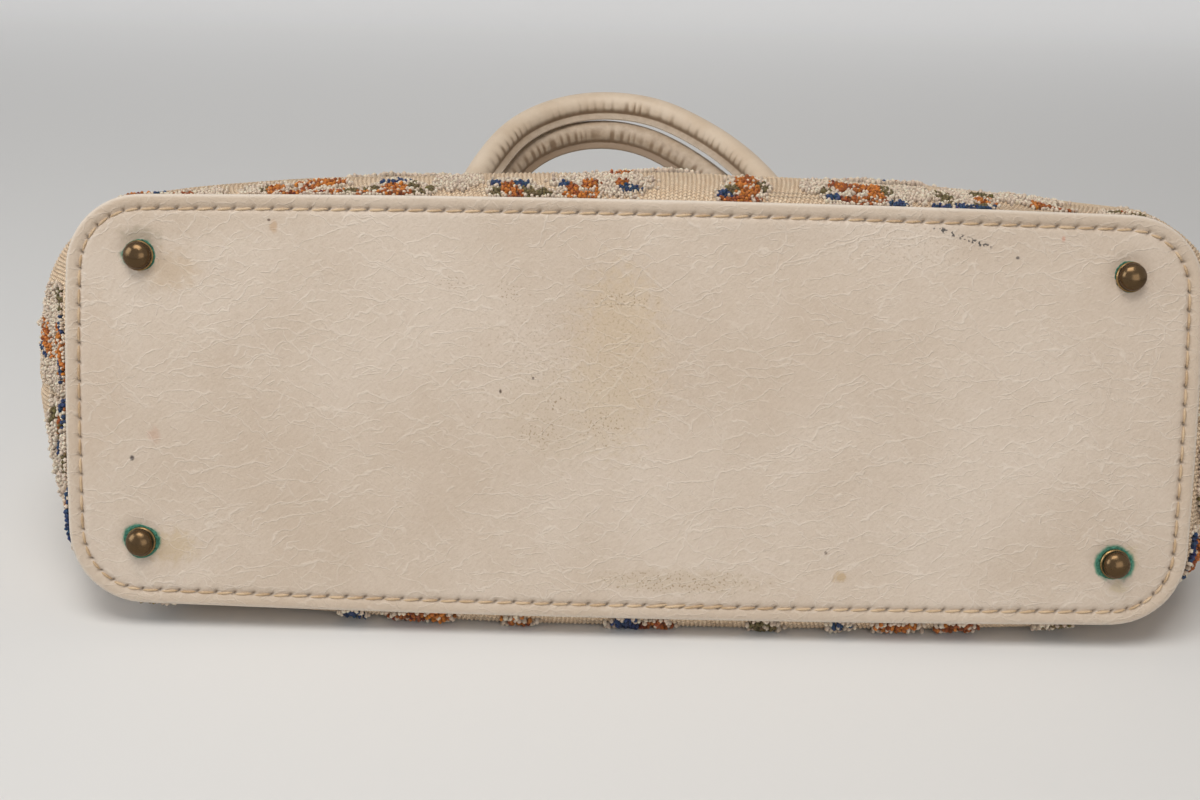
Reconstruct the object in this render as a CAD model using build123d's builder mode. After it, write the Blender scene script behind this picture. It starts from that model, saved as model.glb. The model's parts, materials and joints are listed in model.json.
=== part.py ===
from build123d import *
from math import asin, cos, radians, sin
from typing import NamedTuple
import os

# Carpet bag lying on its back face, base towards -Y and mouth towards +Y, in millimetres.
# The bag has a frame of its own: x along its width, y from its back face to its front face,
# z from its base to its mouth. That frame leans back until the back face meets the floor.

# Base: a stitched leather panel over a stiff board, on four domed feet
base_width = 356.0
base_depth = 129.5
base_corner = 24.0
base_long_crown = 2.1
base_short_crown = 1.5
panel_thickness = 2.2
panel_edge_round = 0.9
seam_inset = 4.5
seam_groove_width = 1.3
seam_groove_depth = 0.5
board_thickness = 2.5
board_clearance = 0.4
foot_end_inset = 22.4
foot_side_inset = 19.15
foot_diameter = 9.5
foot_collar_height = 1.8
foot_dome_height = 2.8
foot_lip_width = 0.5
foot_lip_height = 0.6
foot_shank_diameter = 3.0
foot_rivet_height = 0.7
washer_diameter = 9.0
washer_thickness = 0.8

# Body: carpet outside, cloth lining inside, leather binding round the mouth
body_height = 225.0
collar_height = 25.0
carpet_thickness = 3.2
hem_width = 14.0
hem_thickness = 2.2
lining_thickness = 0.8
lining_clearance = 0.3
mouth_length = 304.0
mouth_thickness = 28.0
mouth_corner = 12.0
mouth_rise = 14.0
binding_thickness = 1.2
binding_depth = 20.0

# Lie of the bag on the floor
mouth_drop = 63.9035
base_lift = 7.0
origin_setback = 95.0

# Handles: rolled leather over a cord core, each on two rings
handle_half_span = 88.0
front_handle_reach = 154.0
back_handle_reach = 166.7
handle_left_turn = 24.8
handle_right_turn = 54.7
front_handle_angle = 43.0
back_handle_angle = 47.2
roll_diameter = 13.0
roll_wall = 1.5
core_clearance = 0.05
fin_thickness = 1.8
fin_height = 1.5
neck_length = 13.0
neck_width = 13.0
neck_thickness = 5.4
ring_wire = 3.0
ring_inner_width = 16.0
ring_inner_height = 8.0
ring_bend = 3.0
ring_clearance = 0.1
loop_wall = 1.6
tab_width = 12.0
tab_thickness = 2.4
tab_length = 21.0
tab_clearance = 0.3
rivet_drop = 10.0
rivet_shank_diameter = 2.8
rivet_head_diameter = 6.5
rivet_head_height = 1.4
rivet_head_taper = 30.0
rivet_cap_diameter = 6.0
rivet_cap_height = 0.8

# Body sections: height as a share of the lofted height, half width and end crown as shares of
# the base's half width, the rest as shares of its half depth, in the order of Section
station_height_shares = (0.0, 0.07, 0.3, 0.6, 0.875)
station_shares = (
    (0.995, 0.985, 0.985, 0.032, 0.032, 0.008, 0.37),
    (1.062, 1.07, 1.05, 0.05, 0.03, 0.03, 0.53),
    (1.115, 1.07, 0.98, 0.13, 0.05, 0.067, 0.71),
    (1.056, 0.865, 0.68, 0.124, 0.05, 0.045, 0.59),
    (0.925, 0.587, 0.155, 0.046, 0.016, 0.017, 0.31),
)


class Section(NamedTuple):
    """A rounded four-sided section of the bag, with each side bowed outwards."""

    half_width: float
    front: float
    back: float
    front_crown: float
    back_crown: float
    end_crown: float
    corner: float


half_width = base_width / 2
half_depth = base_depth / 2
foot_pitch_width = base_width - 2 * foot_end_inset
foot_pitch_depth = base_depth - 2 * foot_side_inset
base_section = Section(
    half_width, half_depth, half_depth, base_long_crown, base_long_crown, base_short_crown, base_corner
)
mouth_section = Section(
    mouth_length / 2,
    mouth_rise + mouth_thickness / 2,
    mouth_thickness / 2 - mouth_rise,
    0,
    0,
    0,
    mouth_corner,
)
station_units = (half_width, half_depth, half_depth, half_depth, half_depth, half_width, half_depth)
stations = [
    Section(*(share * unit for share, unit in zip(shares, station_units))) for shares in station_shares
]
loft_height = body_height - collar_height
station_heights = [share * loft_height for share in station_height_shares]
lining_inset = carpet_thickness + lining_thickness
lining_floor = board_thickness + washer_thickness + foot_rivet_height + lining_clearance

# The back face lies down until the mouth is lower than the middle of the base by mouth_drop
lean = asin(mouth_drop / body_height)
base_height = base_lift + (half_depth + base_long_crown) * cos(lean)
bag = Plane(
    origin=(0, -origin_setback, base_height),
    x_dir=(-1, 0, 0),
    z_dir=(0, cos(lean), -sin(lean)),
)
# Each side's name and its direction along the bag's own x axis
sides = (("left", 1), ("right", -1))
# Each face's name and its direction along the bag's own y axis
faces = (("front", 1), ("back", -1))

loop_radius = ring_wire / 2 + ring_clearance + loop_wall
bore_radius = ring_wire / 2 + ring_clearance
pivot_height = body_height + binding_thickness + tab_clearance + loop_radius
pivot_offset = mouth_thickness / 2 + binding_thickness + tab_thickness / 2
ring_height = ring_inner_height + ring_wire
roll_start = ring_height + neck_length


def bag_plane(x, y, z, x_dir, z_dir):
    """A plane at a point of the bag's own frame, with its directions given in that frame too."""
    turned = Location(bag) * Location(Plane(origin=(x, y, z), x_dir=x_dir, z_dir=z_dir))
    return Plane(turned)


def side_edge(start, end, bow):
    """One side of a section, bowed by the vector bow at its middle."""
    if bow == (0, 0):
        Line(start, end)
    else:
        middle = ((start[0] + end[0]) / 2 + bow[0], (start[1] + end[1]) / 2 + bow[1])
        ThreePointArc(start, middle, end)


def outline(section, inset=0):
    """Draws a section, moved in evenly by inset, into the active sketch."""
    reach = section.half_width - inset
    front = section.front - inset
    back = inset - section.back
    with BuildLine() as edge:
        side_edge((reach, front), (-reach, front), (0, section.front_crown))
        side_edge((-reach, front), (-reach, back), (-section.end_crown, 0))
        side_edge((-reach, back), (reach, back), (0, -section.back_crown))
        side_edge((reach, back), (reach, front), (section.end_crown, 0))
    corners = make_face(edge.edges()).vertices()
    fillet(corners, section.corner - inset)


def body_form(inset, floor):
    """The body inside its skin by inset, from a height of floor to the mouth, flat where it lies."""
    levels = []
    for height, section in zip(station_heights, stations):
        with BuildSketch(bag.offset(max(height, floor))) as level:
            outline(section, inset)
        levels.append(level.sketch)
    with BuildSketch(bag.offset(loft_height)) as mouth:
        outline(mouth_section, inset)
    loft([*levels, mouth.sketch])
    extrude(mouth.sketch, amount=collar_height)
    split(bisect_by=Plane.XY.offset(inset), keep=Keep.TOP)


def rivet_holes():
    """Bores for the tab rivets, through the front and back walls of the mouth."""
    for face, outward in faces:
        for side, along in sides:
            with BuildSketch(rivet_plane(along, outward)) as bore:
                Circle(rivet_shank_diameter / 2)
            extrude(bore.sketch, amount=pivot_offset, both=True, mode=Mode.SUBTRACT)


def rivet_plane(along, outward):
    """On the outer side of a tab, facing away from the bag."""
    return bag_plane(
        along * handle_half_span,
        mouth_rise + outward * (pivot_offset + tab_thickness / 2),
        body_height - rivet_drop,
        (1, 0, 0),
        (0, outward, 0),
    )


def save(piece, name):
    """Labels a finished piece and writes it under its name."""
    piece.part.label = name
    export_step(piece.part, f"parts/{name}.step")


os.makedirs("parts", exist_ok=True)

# Base panel, with its edge turned under and a groove where the topstitching sinks in
with BuildPart() as base_panel:
    with BuildSketch(bag):
        outline(base_section)
    extrude(amount=-panel_thickness)
    rim = base_panel.faces().sort_by(Axis(bag.origin, bag.z_dir))[0].edges()
    fillet(rim, panel_edge_round)
    with BuildSketch(bag.offset(-panel_thickness)) as groove:
        outline(base_section, seam_inset - seam_groove_width / 2)
    with BuildSketch(bag.offset(-panel_thickness)) as groove_island:
        outline(base_section, seam_inset + seam_groove_width / 2)
    extrude(groove.sketch - groove_island.sketch, amount=seam_groove_depth, mode=Mode.SUBTRACT)
    with BuildSketch(bag):
        with GridLocations(foot_pitch_width, foot_pitch_depth, 2, 2):
            Circle(foot_shank_diameter / 2)
    extrude(amount=-panel_thickness, mode=Mode.SUBTRACT)
save(base_panel, "base_panel")

# Stiff board on the panel, inside the carpet's turned hem
with BuildPart() as base_board:
    with BuildSketch(bag):
        outline(base_section, hem_width + board_clearance)
        with GridLocations(foot_pitch_width, foot_pitch_depth, 2, 2):
            Circle(foot_shank_diameter / 2, mode=Mode.SUBTRACT)
    extrude(amount=board_thickness)
save(base_board, "base_board")

# Feet: domed studs with a lip, riveted over washers inside
foot_names = {(1, 1): "front_left", (-1, 1): "front_right", (1, -1): "back_left", (-1, -1): "back_right"}
rivet_top = board_thickness + washer_thickness
for (along, outward), corner_name in foot_names.items():
    foot_x = along * foot_pitch_width / 2
    foot_y = outward * foot_pitch_depth / 2
    with BuildPart() as foot:
        with BuildSketch(bag_plane(foot_x, foot_y, 0, (1, 0, 0), (0, -1, 0))):
            with BuildLine():
                under = -panel_thickness
                collar = under - foot_collar_height
                radius = foot_diameter / 2
                lip = (radius, under - foot_lip_height)
                neck = radius - foot_lip_width
                Polyline((0, rivet_top), (foot_shank_diameter / 2, rivet_top), (foot_shank_diameter / 2, under))
                Polyline((foot_shank_diameter / 2, under), (radius, under), lip, (neck, lip[1]), (neck, collar))
                EllipticalCenterArc((0, collar), neck, foot_dome_height, start_angle=270, arc_size=90)
                Line((0, collar - foot_dome_height), (0, rivet_top))
            make_face()
        revolve(axis=Axis(bag.from_local_coords((foot_x, foot_y, 0)), bag.z_dir))
        with BuildSketch(bag_plane(foot_x, foot_y, rivet_top, (1, 0, 0), (0, 0, 1))):
            Circle(foot_shank_diameter / 2 + foot_rivet_height)
        extrude(amount=foot_rivet_height)
    save(foot, f"foot_{corner_name}")

with BuildPart() as foot_washers:
    with BuildSketch(bag.offset(board_thickness)):
        with GridLocations(foot_pitch_width, foot_pitch_depth, 2, 2):
            Circle(washer_diameter / 2)
            Circle(foot_shank_diameter / 2, mode=Mode.SUBTRACT)
    extrude(amount=washer_thickness)
save(foot_washers, "foot_washers")

# Carpet: a bulging shell with a hem turned in under the base panel
with BuildPart() as carpet_hollow:
    body_form(carpet_thickness, hem_thickness)

with BuildPart() as carpet_shell:
    body_form(0, 0)
    add(carpet_hollow.part, mode=Mode.SUBTRACT)
    with BuildSketch(bag):
        outline(base_section, hem_width)
    extrude(amount=hem_thickness, mode=Mode.SUBTRACT)
    rivet_holes()

# The side seams run up the middle of both ends, from the base to the middle of the mouth
seam_rise = Vector(0, mouth_rise, body_height).normalized()
seam_plane = bag_plane(0, 0, 0, (1, 0, 0), (0, seam_rise.Z, -seam_rise.Y))
for (face, outward), kept in zip(faces, (Keep.TOP, Keep.BOTTOM)):
    with BuildPart() as carpet_panel:
        add(carpet_shell.part)
        split(bisect_by=seam_plane, keep=kept)
    save(carpet_panel, f"carpet_{face}")

# Cloth lining, closed at the bottom above the board
with BuildPart() as lining_hollow:
    body_form(lining_inset, lining_floor + lining_thickness)

with BuildPart() as lining:
    add(carpet_hollow.part)
    split(bisect_by=bag.offset(lining_floor), keep=Keep.TOP)
    add(lining_hollow.part, mode=Mode.SUBTRACT)
    rivet_holes()
save(lining, "lining")

# Leather binding folded over the mouth's edge
with BuildPart() as mouth_binding:
    binding_start = bag.offset(body_height - binding_depth)
    with BuildSketch(binding_start):
        outline(mouth_section, -binding_thickness)
    extrude(amount=binding_depth + binding_thickness)
    with BuildSketch(binding_start) as fold:
        outline(mouth_section)
    with BuildSketch(binding_start) as inner_leg:
        outline(mouth_section, lining_inset)
    extrude(fold.sketch - inner_leg.sketch, amount=binding_depth, mode=Mode.SUBTRACT)
    with BuildSketch(binding_start):
        outline(mouth_section, lining_inset + binding_thickness)
    extrude(amount=binding_depth + binding_thickness, mode=Mode.SUBTRACT)
    rivet_holes()
save(mouth_binding, "mouth_binding")

# Tabs: leather straps sewn to the binding, folded into a loop round each ring
for face, outward in faces:
    for side, along in sides:
        tab_y = mouth_rise + outward * pivot_offset
        tab_plane = bag_plane(along * handle_half_span, tab_y, pivot_height, (0, 1, 0), (1, 0, 0))
        with BuildPart() as tab:
            with BuildSketch(tab_plane):
                with Locations((0, -tab_length / 2)):
                    Rectangle(tab_thickness, tab_length)
                Circle(loop_radius)
                Circle(bore_radius, mode=Mode.SUBTRACT)
            extrude(amount=tab_width / 2, both=True)
            rivet_holes()
        save(tab, f"tab_{face}_{side}")

# Tab rivets: a low domed head outside, a flat cap inside the mouth
rivet_grip = tab_thickness + binding_thickness + lining_inset + binding_thickness
with BuildPart() as tab_rivets:
    for face, outward in faces:
        for side, along in sides:
            head_plane = rivet_plane(along, outward)
            with BuildSketch(head_plane):
                Circle(rivet_head_diameter / 2)
            extrude(amount=rivet_head_height, taper=rivet_head_taper)
            with BuildSketch(head_plane):
                Circle(rivet_shank_diameter / 2)
            extrude(amount=-rivet_grip)
            with BuildSketch(head_plane.offset(-rivet_grip)):
                Circle(rivet_cap_diameter / 2)
            extrude(amount=-rivet_cap_height)
save(tab_rivets, "tab_rivets")

# Handles: a steep left leg and a slanting right leg, each an arc that meets the crown arc at its tangent
leg_turns = (radians(handle_left_turn), radians(handle_right_turn))
leg_leans = [(1 - cos(turn)) / sin(turn) for turn in leg_turns]
crown_share = sum(cos(turn) - (1 - sin(turn)) * leg_lean for turn, leg_lean in zip(leg_turns, leg_leans))
crown_turn = 180 - handle_left_turn - handle_right_turn
handle_angles = {"front": front_handle_angle, "back": back_handle_angle}
handle_reaches = {"front": front_handle_reach, "back": back_handle_reach}

for face, outward in faces:
    angle = radians(handle_angles[face])
    arch_rise = handle_reaches[face] - roll_start
    crown_radius = (2 * handle_half_span - arch_rise * sum(leg_leans)) / crown_share
    left_radius, right_radius = [(arch_rise - crown_radius * (1 - sin(turn))) / sin(turn) for turn in leg_turns]
    pivot = (0, mouth_rise + outward * pivot_offset, pivot_height)
    # x along the bag, y from the ring axis to the crown of the arch
    handle_plane = bag_plane(*pivot, (1, 0, 0), (0, -cos(angle), sin(angle)))

    with BuildLine(handle_plane) as arch:
        leg = JernArc((handle_half_span, roll_start), (0, 1), left_radius, handle_left_turn)
        crown = JernArc(leg @ 1, leg % 1, crown_radius, crown_turn)
        JernArc(crown @ 1, crown % 1, right_radius, handle_right_turn)
    roll_section = Plane(
        origin=handle_plane.from_local_coords((handle_half_span, roll_start, 0)),
        x_dir=handle_plane.x_dir,
        z_dir=handle_plane.y_dir,
    )
    with BuildPart() as core:
        with BuildSketch(roll_section):
            Circle(roll_diameter / 2 - roll_wall - core_clearance)
        sweep(path=arch.wires()[0])
    save(core, f"handle_{face}_core")

    with BuildPart() as roll:
        with BuildSketch(roll_section):
            Circle(roll_diameter / 2)
            with Locations((-(roll_diameter + fin_height) / 2, 0)):
                Rectangle(roll_wall + fin_height, fin_thickness)
            Circle(roll_diameter / 2 - roll_wall, mode=Mode.SUBTRACT)
        sweep(path=arch.wires()[0])
        for along in (1, -1):
            for height, wide, thick in (
                (roll_start, roll_diameter, roll_diameter),
                (ring_height, neck_width, neck_thickness),
            ):
                with BuildSketch(
                    Plane(
                        origin=handle_plane.from_local_coords((along * handle_half_span, height, 0)),
                        x_dir=handle_plane.x_dir,
                        z_dir=handle_plane.y_dir,
                    )
                ):
                    Ellipse(wide / 2, thick / 2)
            loft()
            loop_plane = Plane(
                origin=handle_plane.from_local_coords((along * handle_half_span, ring_height, 0)),
                x_dir=handle_plane.y_dir,
                z_dir=handle_plane.x_dir,
            )
            with BuildSketch(loop_plane):
                Circle(loop_radius)
            extrude(amount=neck_width / 2, both=True)
            with BuildSketch(loop_plane):
                Circle(bore_radius)
            extrude(amount=neck_width, both=True, mode=Mode.SUBTRACT)
    save(roll, f"handle_{face}_roll")

    for side, along in sides:
        wide = ring_inner_width + ring_wire
        middle = along * handle_half_span
        with BuildPart() as ring:
            with BuildLine(handle_plane) as loop:
                FilletPolyline(
                    (middle - wide / 2, 0),
                    (middle + wide / 2, 0),
                    (middle + wide / 2, ring_height),
                    (middle - wide / 2, ring_height),
                    radius=ring_bend,
                    close=True,
                )
            start = loop.wires()[0]
            with BuildSketch(Plane(origin=start @ 0, z_dir=start % 0)):
                Circle(ring_wire / 2)
            sweep(path=start)
        save(ring, f"ring_{face}_{side}")
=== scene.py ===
"""Carpet bag lying on its back face: leather base on stud feet, floral looped carpet, rolled handles."""
import json
import math
import bpy
import numpy as np
from mathutils import Matrix, Vector
from mathutils.bvhtree import BVHTree


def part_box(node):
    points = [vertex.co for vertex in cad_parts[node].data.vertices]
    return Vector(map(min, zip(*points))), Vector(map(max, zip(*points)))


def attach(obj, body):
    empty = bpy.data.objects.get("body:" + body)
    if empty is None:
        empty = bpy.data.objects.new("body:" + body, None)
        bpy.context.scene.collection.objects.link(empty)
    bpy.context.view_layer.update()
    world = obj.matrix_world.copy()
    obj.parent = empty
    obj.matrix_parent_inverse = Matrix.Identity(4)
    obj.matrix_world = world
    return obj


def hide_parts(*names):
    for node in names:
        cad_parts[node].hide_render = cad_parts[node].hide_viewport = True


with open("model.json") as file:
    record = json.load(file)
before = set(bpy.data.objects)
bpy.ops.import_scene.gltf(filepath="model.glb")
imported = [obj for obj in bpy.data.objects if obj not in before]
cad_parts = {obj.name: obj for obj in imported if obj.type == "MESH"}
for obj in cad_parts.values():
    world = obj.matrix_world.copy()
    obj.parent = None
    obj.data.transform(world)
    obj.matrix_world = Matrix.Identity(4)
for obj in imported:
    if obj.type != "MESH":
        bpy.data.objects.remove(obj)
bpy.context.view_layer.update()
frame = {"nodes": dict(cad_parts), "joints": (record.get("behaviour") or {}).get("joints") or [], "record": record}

# Lengths are in millimetres up to the making of each mesh, which is in metres
MM = 0.001
FULL_TURN = 2 * math.pi

# Base panel and its topstitching
panel_thickness = 2.2
seam_inset = 4.5
stitch_count = 156
steps_per_stitch = 12
thread_radius = 0.45
border_width = 8.0

# Body
body_height = 225.0
body_middle_height = 90.0
mouth_rise = 14.0
mouth_half_length = 152.0
mouth_half_thickness = 14.0
mouth_corner = 12.0
rib_pitch = 1.5
rib_height = 0.5

# Handles, tabs and the rings between them
roll_radius = 6.5
fin_height = 3.5
fin_tilt = 0.33
fin_half_thickness = 0.85
gather_pitch = 5.4
loop_inner_radius = 1.62
loop_outer_radius = 3.2
loop_middle_radius = (loop_inner_radius + loop_outer_radius) / 2
loop_width = 13.0
loop_ply = 1.45
tab_width = 12.0
tab_length = 21.0
tab_ply = 1.15
pivot_height = 229.7
pivot_offset = 16.4

# The bag's own directions: along its width, from its back face to its front face, from base to mouth
standing = next(m for m in frame["record"]["mounts"] if m["name"] == "standing_feet")
rise = -np.array(standing["axis"], float)
rise /= np.linalg.norm(rise)
along = np.array((1.0, 0.0, 0.0))
facing = np.cross(along, rise)
low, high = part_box("base_panel")
base_middle = np.array((low + high) / 2) / MM + rise * panel_thickness / 2
low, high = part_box("tab_front_right")
ring_half_span = (low[0] + high[0]) / 2 / MM


def place(x, d, h):
    """Points of the bag's own frame in the part's frame."""
    x, d, h = np.broadcast_arrays(np.asarray(x, float), np.asarray(d, float), np.asarray(h, float))
    return base_middle + x[..., None] * along + d[..., None] * facing + h[..., None] * rise


def unplace(point):
    """A point of the part's frame in the bag's own frame."""
    offset = np.asarray(point, float) - base_middle
    return np.stack([offset @ along, offset @ facing, offset @ rise], -1)


def unit(vectors):
    length = np.linalg.norm(vectors, axis=-1, keepdims=True)
    return vectors / np.maximum(length, 1e-12)


def bell(values, width):
    return np.exp(-(np.asarray(values) / width) ** 2)


def ease(values, start, end):
    """0 before start, 1 after end, smooth between them."""
    share = np.clip((np.asarray(values, float) - start) / (end - start), 0, 1)
    return share * share * (3 - 2 * share)


def ripple(u, v, wave, seed):
    """A smooth uneven surface between -1 and 1, with bumps about wave apart."""
    rows, columns = 61, 67
    table = np.random.default_rng(seed).uniform(-1, 1, (rows, columns))
    a, b = np.asarray(u) / wave, np.asarray(v) / wave
    i, j = np.floor(a).astype(int), np.floor(b).astype(int)
    s, t = a - i, b - j
    s, t = s * s * (3 - 2 * s), t * t * (3 - 2 * t)
    i, j, i_next, j_next = i % rows, j % columns, (i + 1) % rows, (j + 1) % columns
    near = table[i, j] * (1 - s) + table[i_next, j] * s
    far = table[i, j_next] * (1 - s) + table[i_next, j_next] * s
    return near * (1 - t) + far * t


def evenly(line, count):
    """The same line through count points at even distances."""
    steps = np.linalg.norm(np.diff(line, axis=0), axis=1)
    run = np.concatenate([[0], np.cumsum(steps)])
    share = np.linspace(0, run[-1], count)
    return np.stack([np.interp(share, run, line[:, k]) for k in range(line.shape[1])], 1)


def grid_faces(rows, columns, closed=False):
    """Four-sided faces between rows of points, closed across the last column if asked."""
    r = np.arange(rows - 1)[:, None] * columns
    c = np.arange(columns if closed else columns - 1)[None, :]
    n = (c + 1) % columns
    return np.stack([r + c, r + n, r + n + columns, r + c + columns], -1).reshape(-1, 4)


def outward(points, faces, middle):
    """The faces turned so that they look away from middle."""
    a, b, c = (points[faces[:, k]] for k in range(3))
    turn = np.cross(b - a, c - a)
    side = ((a + c) / 2 - middle) * turn
    return faces if side.sum() > 0 else faces[:, ::-1]


def make_piece(name, points, faces, finish, body="bag"):
    """A smooth-shaded mesh from points in millimetres, riding on a body."""
    groups = faces if isinstance(faces, list) else [faces]
    corners = np.concatenate([f.ravel() for f in groups]).astype(np.int32)
    sizes = np.concatenate([np.full(len(f), f.shape[1]) for f in groups])
    starts = np.concatenate([[0], np.cumsum(sizes)[:-1]]).astype(np.int32)
    flat = (np.asarray(points, float).reshape(-1, 3) * MM).astype(np.float32)
    mesh = bpy.data.meshes.new(name)
    mesh.vertices.add(len(flat))
    mesh.vertices.foreach_set("co", flat.ravel())
    mesh.loops.add(len(corners))
    mesh.loops.foreach_set("vertex_index", corners)
    mesh.polygons.add(len(sizes))
    mesh.polygons.foreach_set("loop_start", starts)
    mesh.update(calc_edges=True)
    mesh.validate()
    mesh.shade_smooth()
    mesh.materials.append(finish)
    piece = bpy.data.objects.new(name, mesh)
    bpy.context.scene.collection.objects.link(piece)
    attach(piece, body)
    return piece


def face_toward(piece, index, way):
    """Turns all faces of a piece over if the one at index looks against way."""
    if piece.data.polygons[index].normal.dot(Vector(way)) < 0:
        piece.data.flip_normals()


def mark(piece, name, values, kind="FLOAT"):
    """Stores a value for each point of a piece, for its finish to read."""
    layer = piece.data.attributes.new(name, kind, "POINT")
    field = {"FLOAT": "value", "FLOAT_VECTOR": "vector", "FLOAT_COLOR": "color"}[kind]
    layer.data.foreach_set(field, np.ascontiguousarray(values, np.float32).ravel())


def solid_tree(*names):
    """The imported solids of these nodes, ready to be met by lines."""
    points, faces = [], []
    for name in names:
        mesh = frame["nodes"][name].data
        start = len(points)
        points += [v.co / MM for v in mesh.vertices]
        faces += [[start + i for i in p.vertices] for p in mesh.polygons]
    return BVHTree.FromPolygons(points, faces)


def first_met(tree, start, way, reach=1000.0):
    hit = tree.ray_cast(Vector(start), Vector(way), reach)[0]
    return None if hit is None else np.array(hit)


# Finishes

def feed(tree, socket, value):
    """Links what varies to a socket, or sets on it what is the same all over."""
    if isinstance(value, bpy.types.NodeSocket):
        tree.links.new(value, socket)
    else:
        socket.default_value = value


def node(tree, kind, inputs=None, **settings):
    made = tree.nodes.new(kind)
    for key, value in settings.items():
        setattr(made, key, value)
    for key, value in (inputs or {}).items():
        feed(tree, made.inputs[key], value)
    return made


def use(tree, group, inputs):
    return node(tree, "ShaderNodeGroup", inputs, node_tree=group).outputs


def sums(tree, operation, a, b=0.0, c=0.0):
    return node(tree, "ShaderNodeMath", {0: a, 1: b, 2: c}, operation=operation).outputs[0]


def times(tree, a, b):
    return sums(tree, "MULTIPLY", a, b)


def moved(tree, operation, a, b):
    return node(tree, "ShaderNodeVectorMath", {0: a, 1: b}, operation=operation).outputs[0]


def parts_of(tree, vector):
    return node(tree, "ShaderNodeSeparateXYZ", {0: vector}).outputs


def fade(tree, value, start, end, low=0.0, high=1.0):
    """From low to high, smoothly, as value goes from start to end."""
    inputs = {"Value": value, "From Min": start, "From Max": end, "To Min": low, "To Max": high}
    return node(tree, "ShaderNodeMapRange", inputs, interpolation_type="SMOOTHSTEP").outputs[0]


def tint(tree, share, first, second, how="MIX"):
    inputs = {0: share, 6: first, 7: second}
    return node(tree, "ShaderNodeMix", inputs, data_type="RGBA", blend_type=how).outputs[2]


def stain(tree, tone, colour, share, strength):
    """The tone with some of a colour laid over it."""
    return tint(tree, times(tree, share, strength), tone, colour)


def noise(tree, spot, scale, detail=3.0, rough=0.55):
    inputs = {"Vector": spot, "Scale": scale, "Detail": detail, "Roughness": rough}
    return node(tree, "ShaderNodeTexNoise", inputs).outputs[0]


def turned_by(tree, spot, angle):
    inputs = {"Vector": spot, "Angle": angle}
    return node(tree, "ShaderNodeVectorRotate", inputs, rotation_type="Z_AXIS").outputs[0]


def effect(name, inputs, outputs):
    """An empty node group with named sockets: the group, its inputs inside, its outputs inside."""
    group = bpy.data.node_groups.new(name, "ShaderNodeTree")
    for label, kind, value in inputs:
        socket = group.interface.new_socket(label, in_out="INPUT", socket_type=kind)
        if value is not None:
            socket.default_value = value
    for label, kind in outputs:
        group.interface.new_socket(label, in_out="OUTPUT", socket_type=kind)
    return group, group.nodes.new("NodeGroupInput").outputs, group.nodes.new("NodeGroupOutput").inputs


NUMBER, VECTOR = "NodeSocketFloat", "NodeSocketVector"


def hide_grain_effect():
    """Pores and fine pebbling of leather, with a slow change of tone."""
    group, given, out = effect(
        "hide_grain",
        [("Vector", VECTOR, None), ("Pebble", NUMBER, 1400.0), ("Mottle Size", NUMBER, 30.0)],
        [("Height", NUMBER), ("Mottle", NUMBER)],
    )
    cells = node(group, "ShaderNodeTexVoronoi", {"Vector": given["Vector"], "Scale": given["Pebble"]})
    fine = noise(group, given["Vector"], given["Pebble"], 2.0, 0.6)
    height = sums(group, "MULTIPLY_ADD", cells.outputs["Distance"], 0.6, fine)
    mottle = noise(group, given["Vector"], given["Mottle Size"], 5.0, 0.6)
    group.links.new(height, out["Height"])
    group.links.new(mottle, out["Mottle"])
    return group


def crease_lines_effect():
    """Long thin creases that bend slowly, cross and die out, all of one width."""
    group, given, out = effect(
        "crease_lines",
        [
            ("Vector", VECTOR, None),
            ("Start", VECTOR, (0.0, 0.0, 0.0)),
            ("Turn", NUMBER, 0.0),
            ("Stretch", VECTOR, (0.35, 1.0, 1.0)),
            ("Size", NUMBER, 14.0),
            ("Levels", NUMBER, 8.0),
            ("Half Width", NUMBER, 0.0002),
            ("Share", NUMBER, 0.5),
        ],
        [("Crease", NUMBER)],
    )
    # A crease runs where a slow unevenness passes one of its levels
    step = 0.0005
    begun = moved(group, "ADD", given["Vector"], given["Start"])
    lengthwise = turned_by(group, begun, given["Turn"])
    fields = []
    for aside in ((0.0, 0.0, 0.0), (step, 0.0, 0.0), (0.0, step, 0.0)):
        spot = moved(group, "MULTIPLY", moved(group, "ADD", lengthwise, aside), given["Stretch"])
        fields.append(noise(group, spot, given["Size"], 2.0, 0.5))
    slope_along = sums(group, "SUBTRACT", fields[1], fields[0])
    slope_across = sums(group, "SUBTRACT", fields[2], fields[0])
    squares = times(group, slope_along, slope_along)
    rise_per_step = sums(group, "SQRT", sums(group, "MULTIPLY_ADD", slope_across, slope_across, squares))
    slope = sums(group, "DIVIDE", rise_per_step, step)
    level = sums(group, "FRACT", times(group, fields[0], given["Levels"]))
    from_level = sums(group, "ABSOLUTE", sums(group, "SUBTRACT", level, 0.5))
    gap = sums(group, "DIVIDE", from_level, given["Levels"])
    far = sums(group, "DIVIDE", gap, sums(group, "MAXIMUM", slope, 0.5))
    line = fade(group, far, given["Half Width"], 0.0)
    # It is kept where it runs lengthwise and the unevenness is steep, in some patches only
    least_rise = sums(group, "MAXIMUM", rise_per_step, 0.0001)
    strayed = sums(group, "DIVIDE", sums(group, "ABSOLUTE", slope_along), least_rise)
    straight = fade(group, strayed, 0.78, 0.45)
    steep = fade(group, slope, 2.0, 5.0)
    patch = noise(group, begun, 34.0, 2.0, 0.6)
    ended = sums(group, "SUBTRACT", 1.0, given["Share"])
    shown = fade(group, sums(group, "SUBTRACT", patch, ended), -0.06, 0.14)
    kept = times(group, times(group, steep, straight), shown)
    group.links.new(times(group, line, kept), out["Crease"])
    return group


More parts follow.
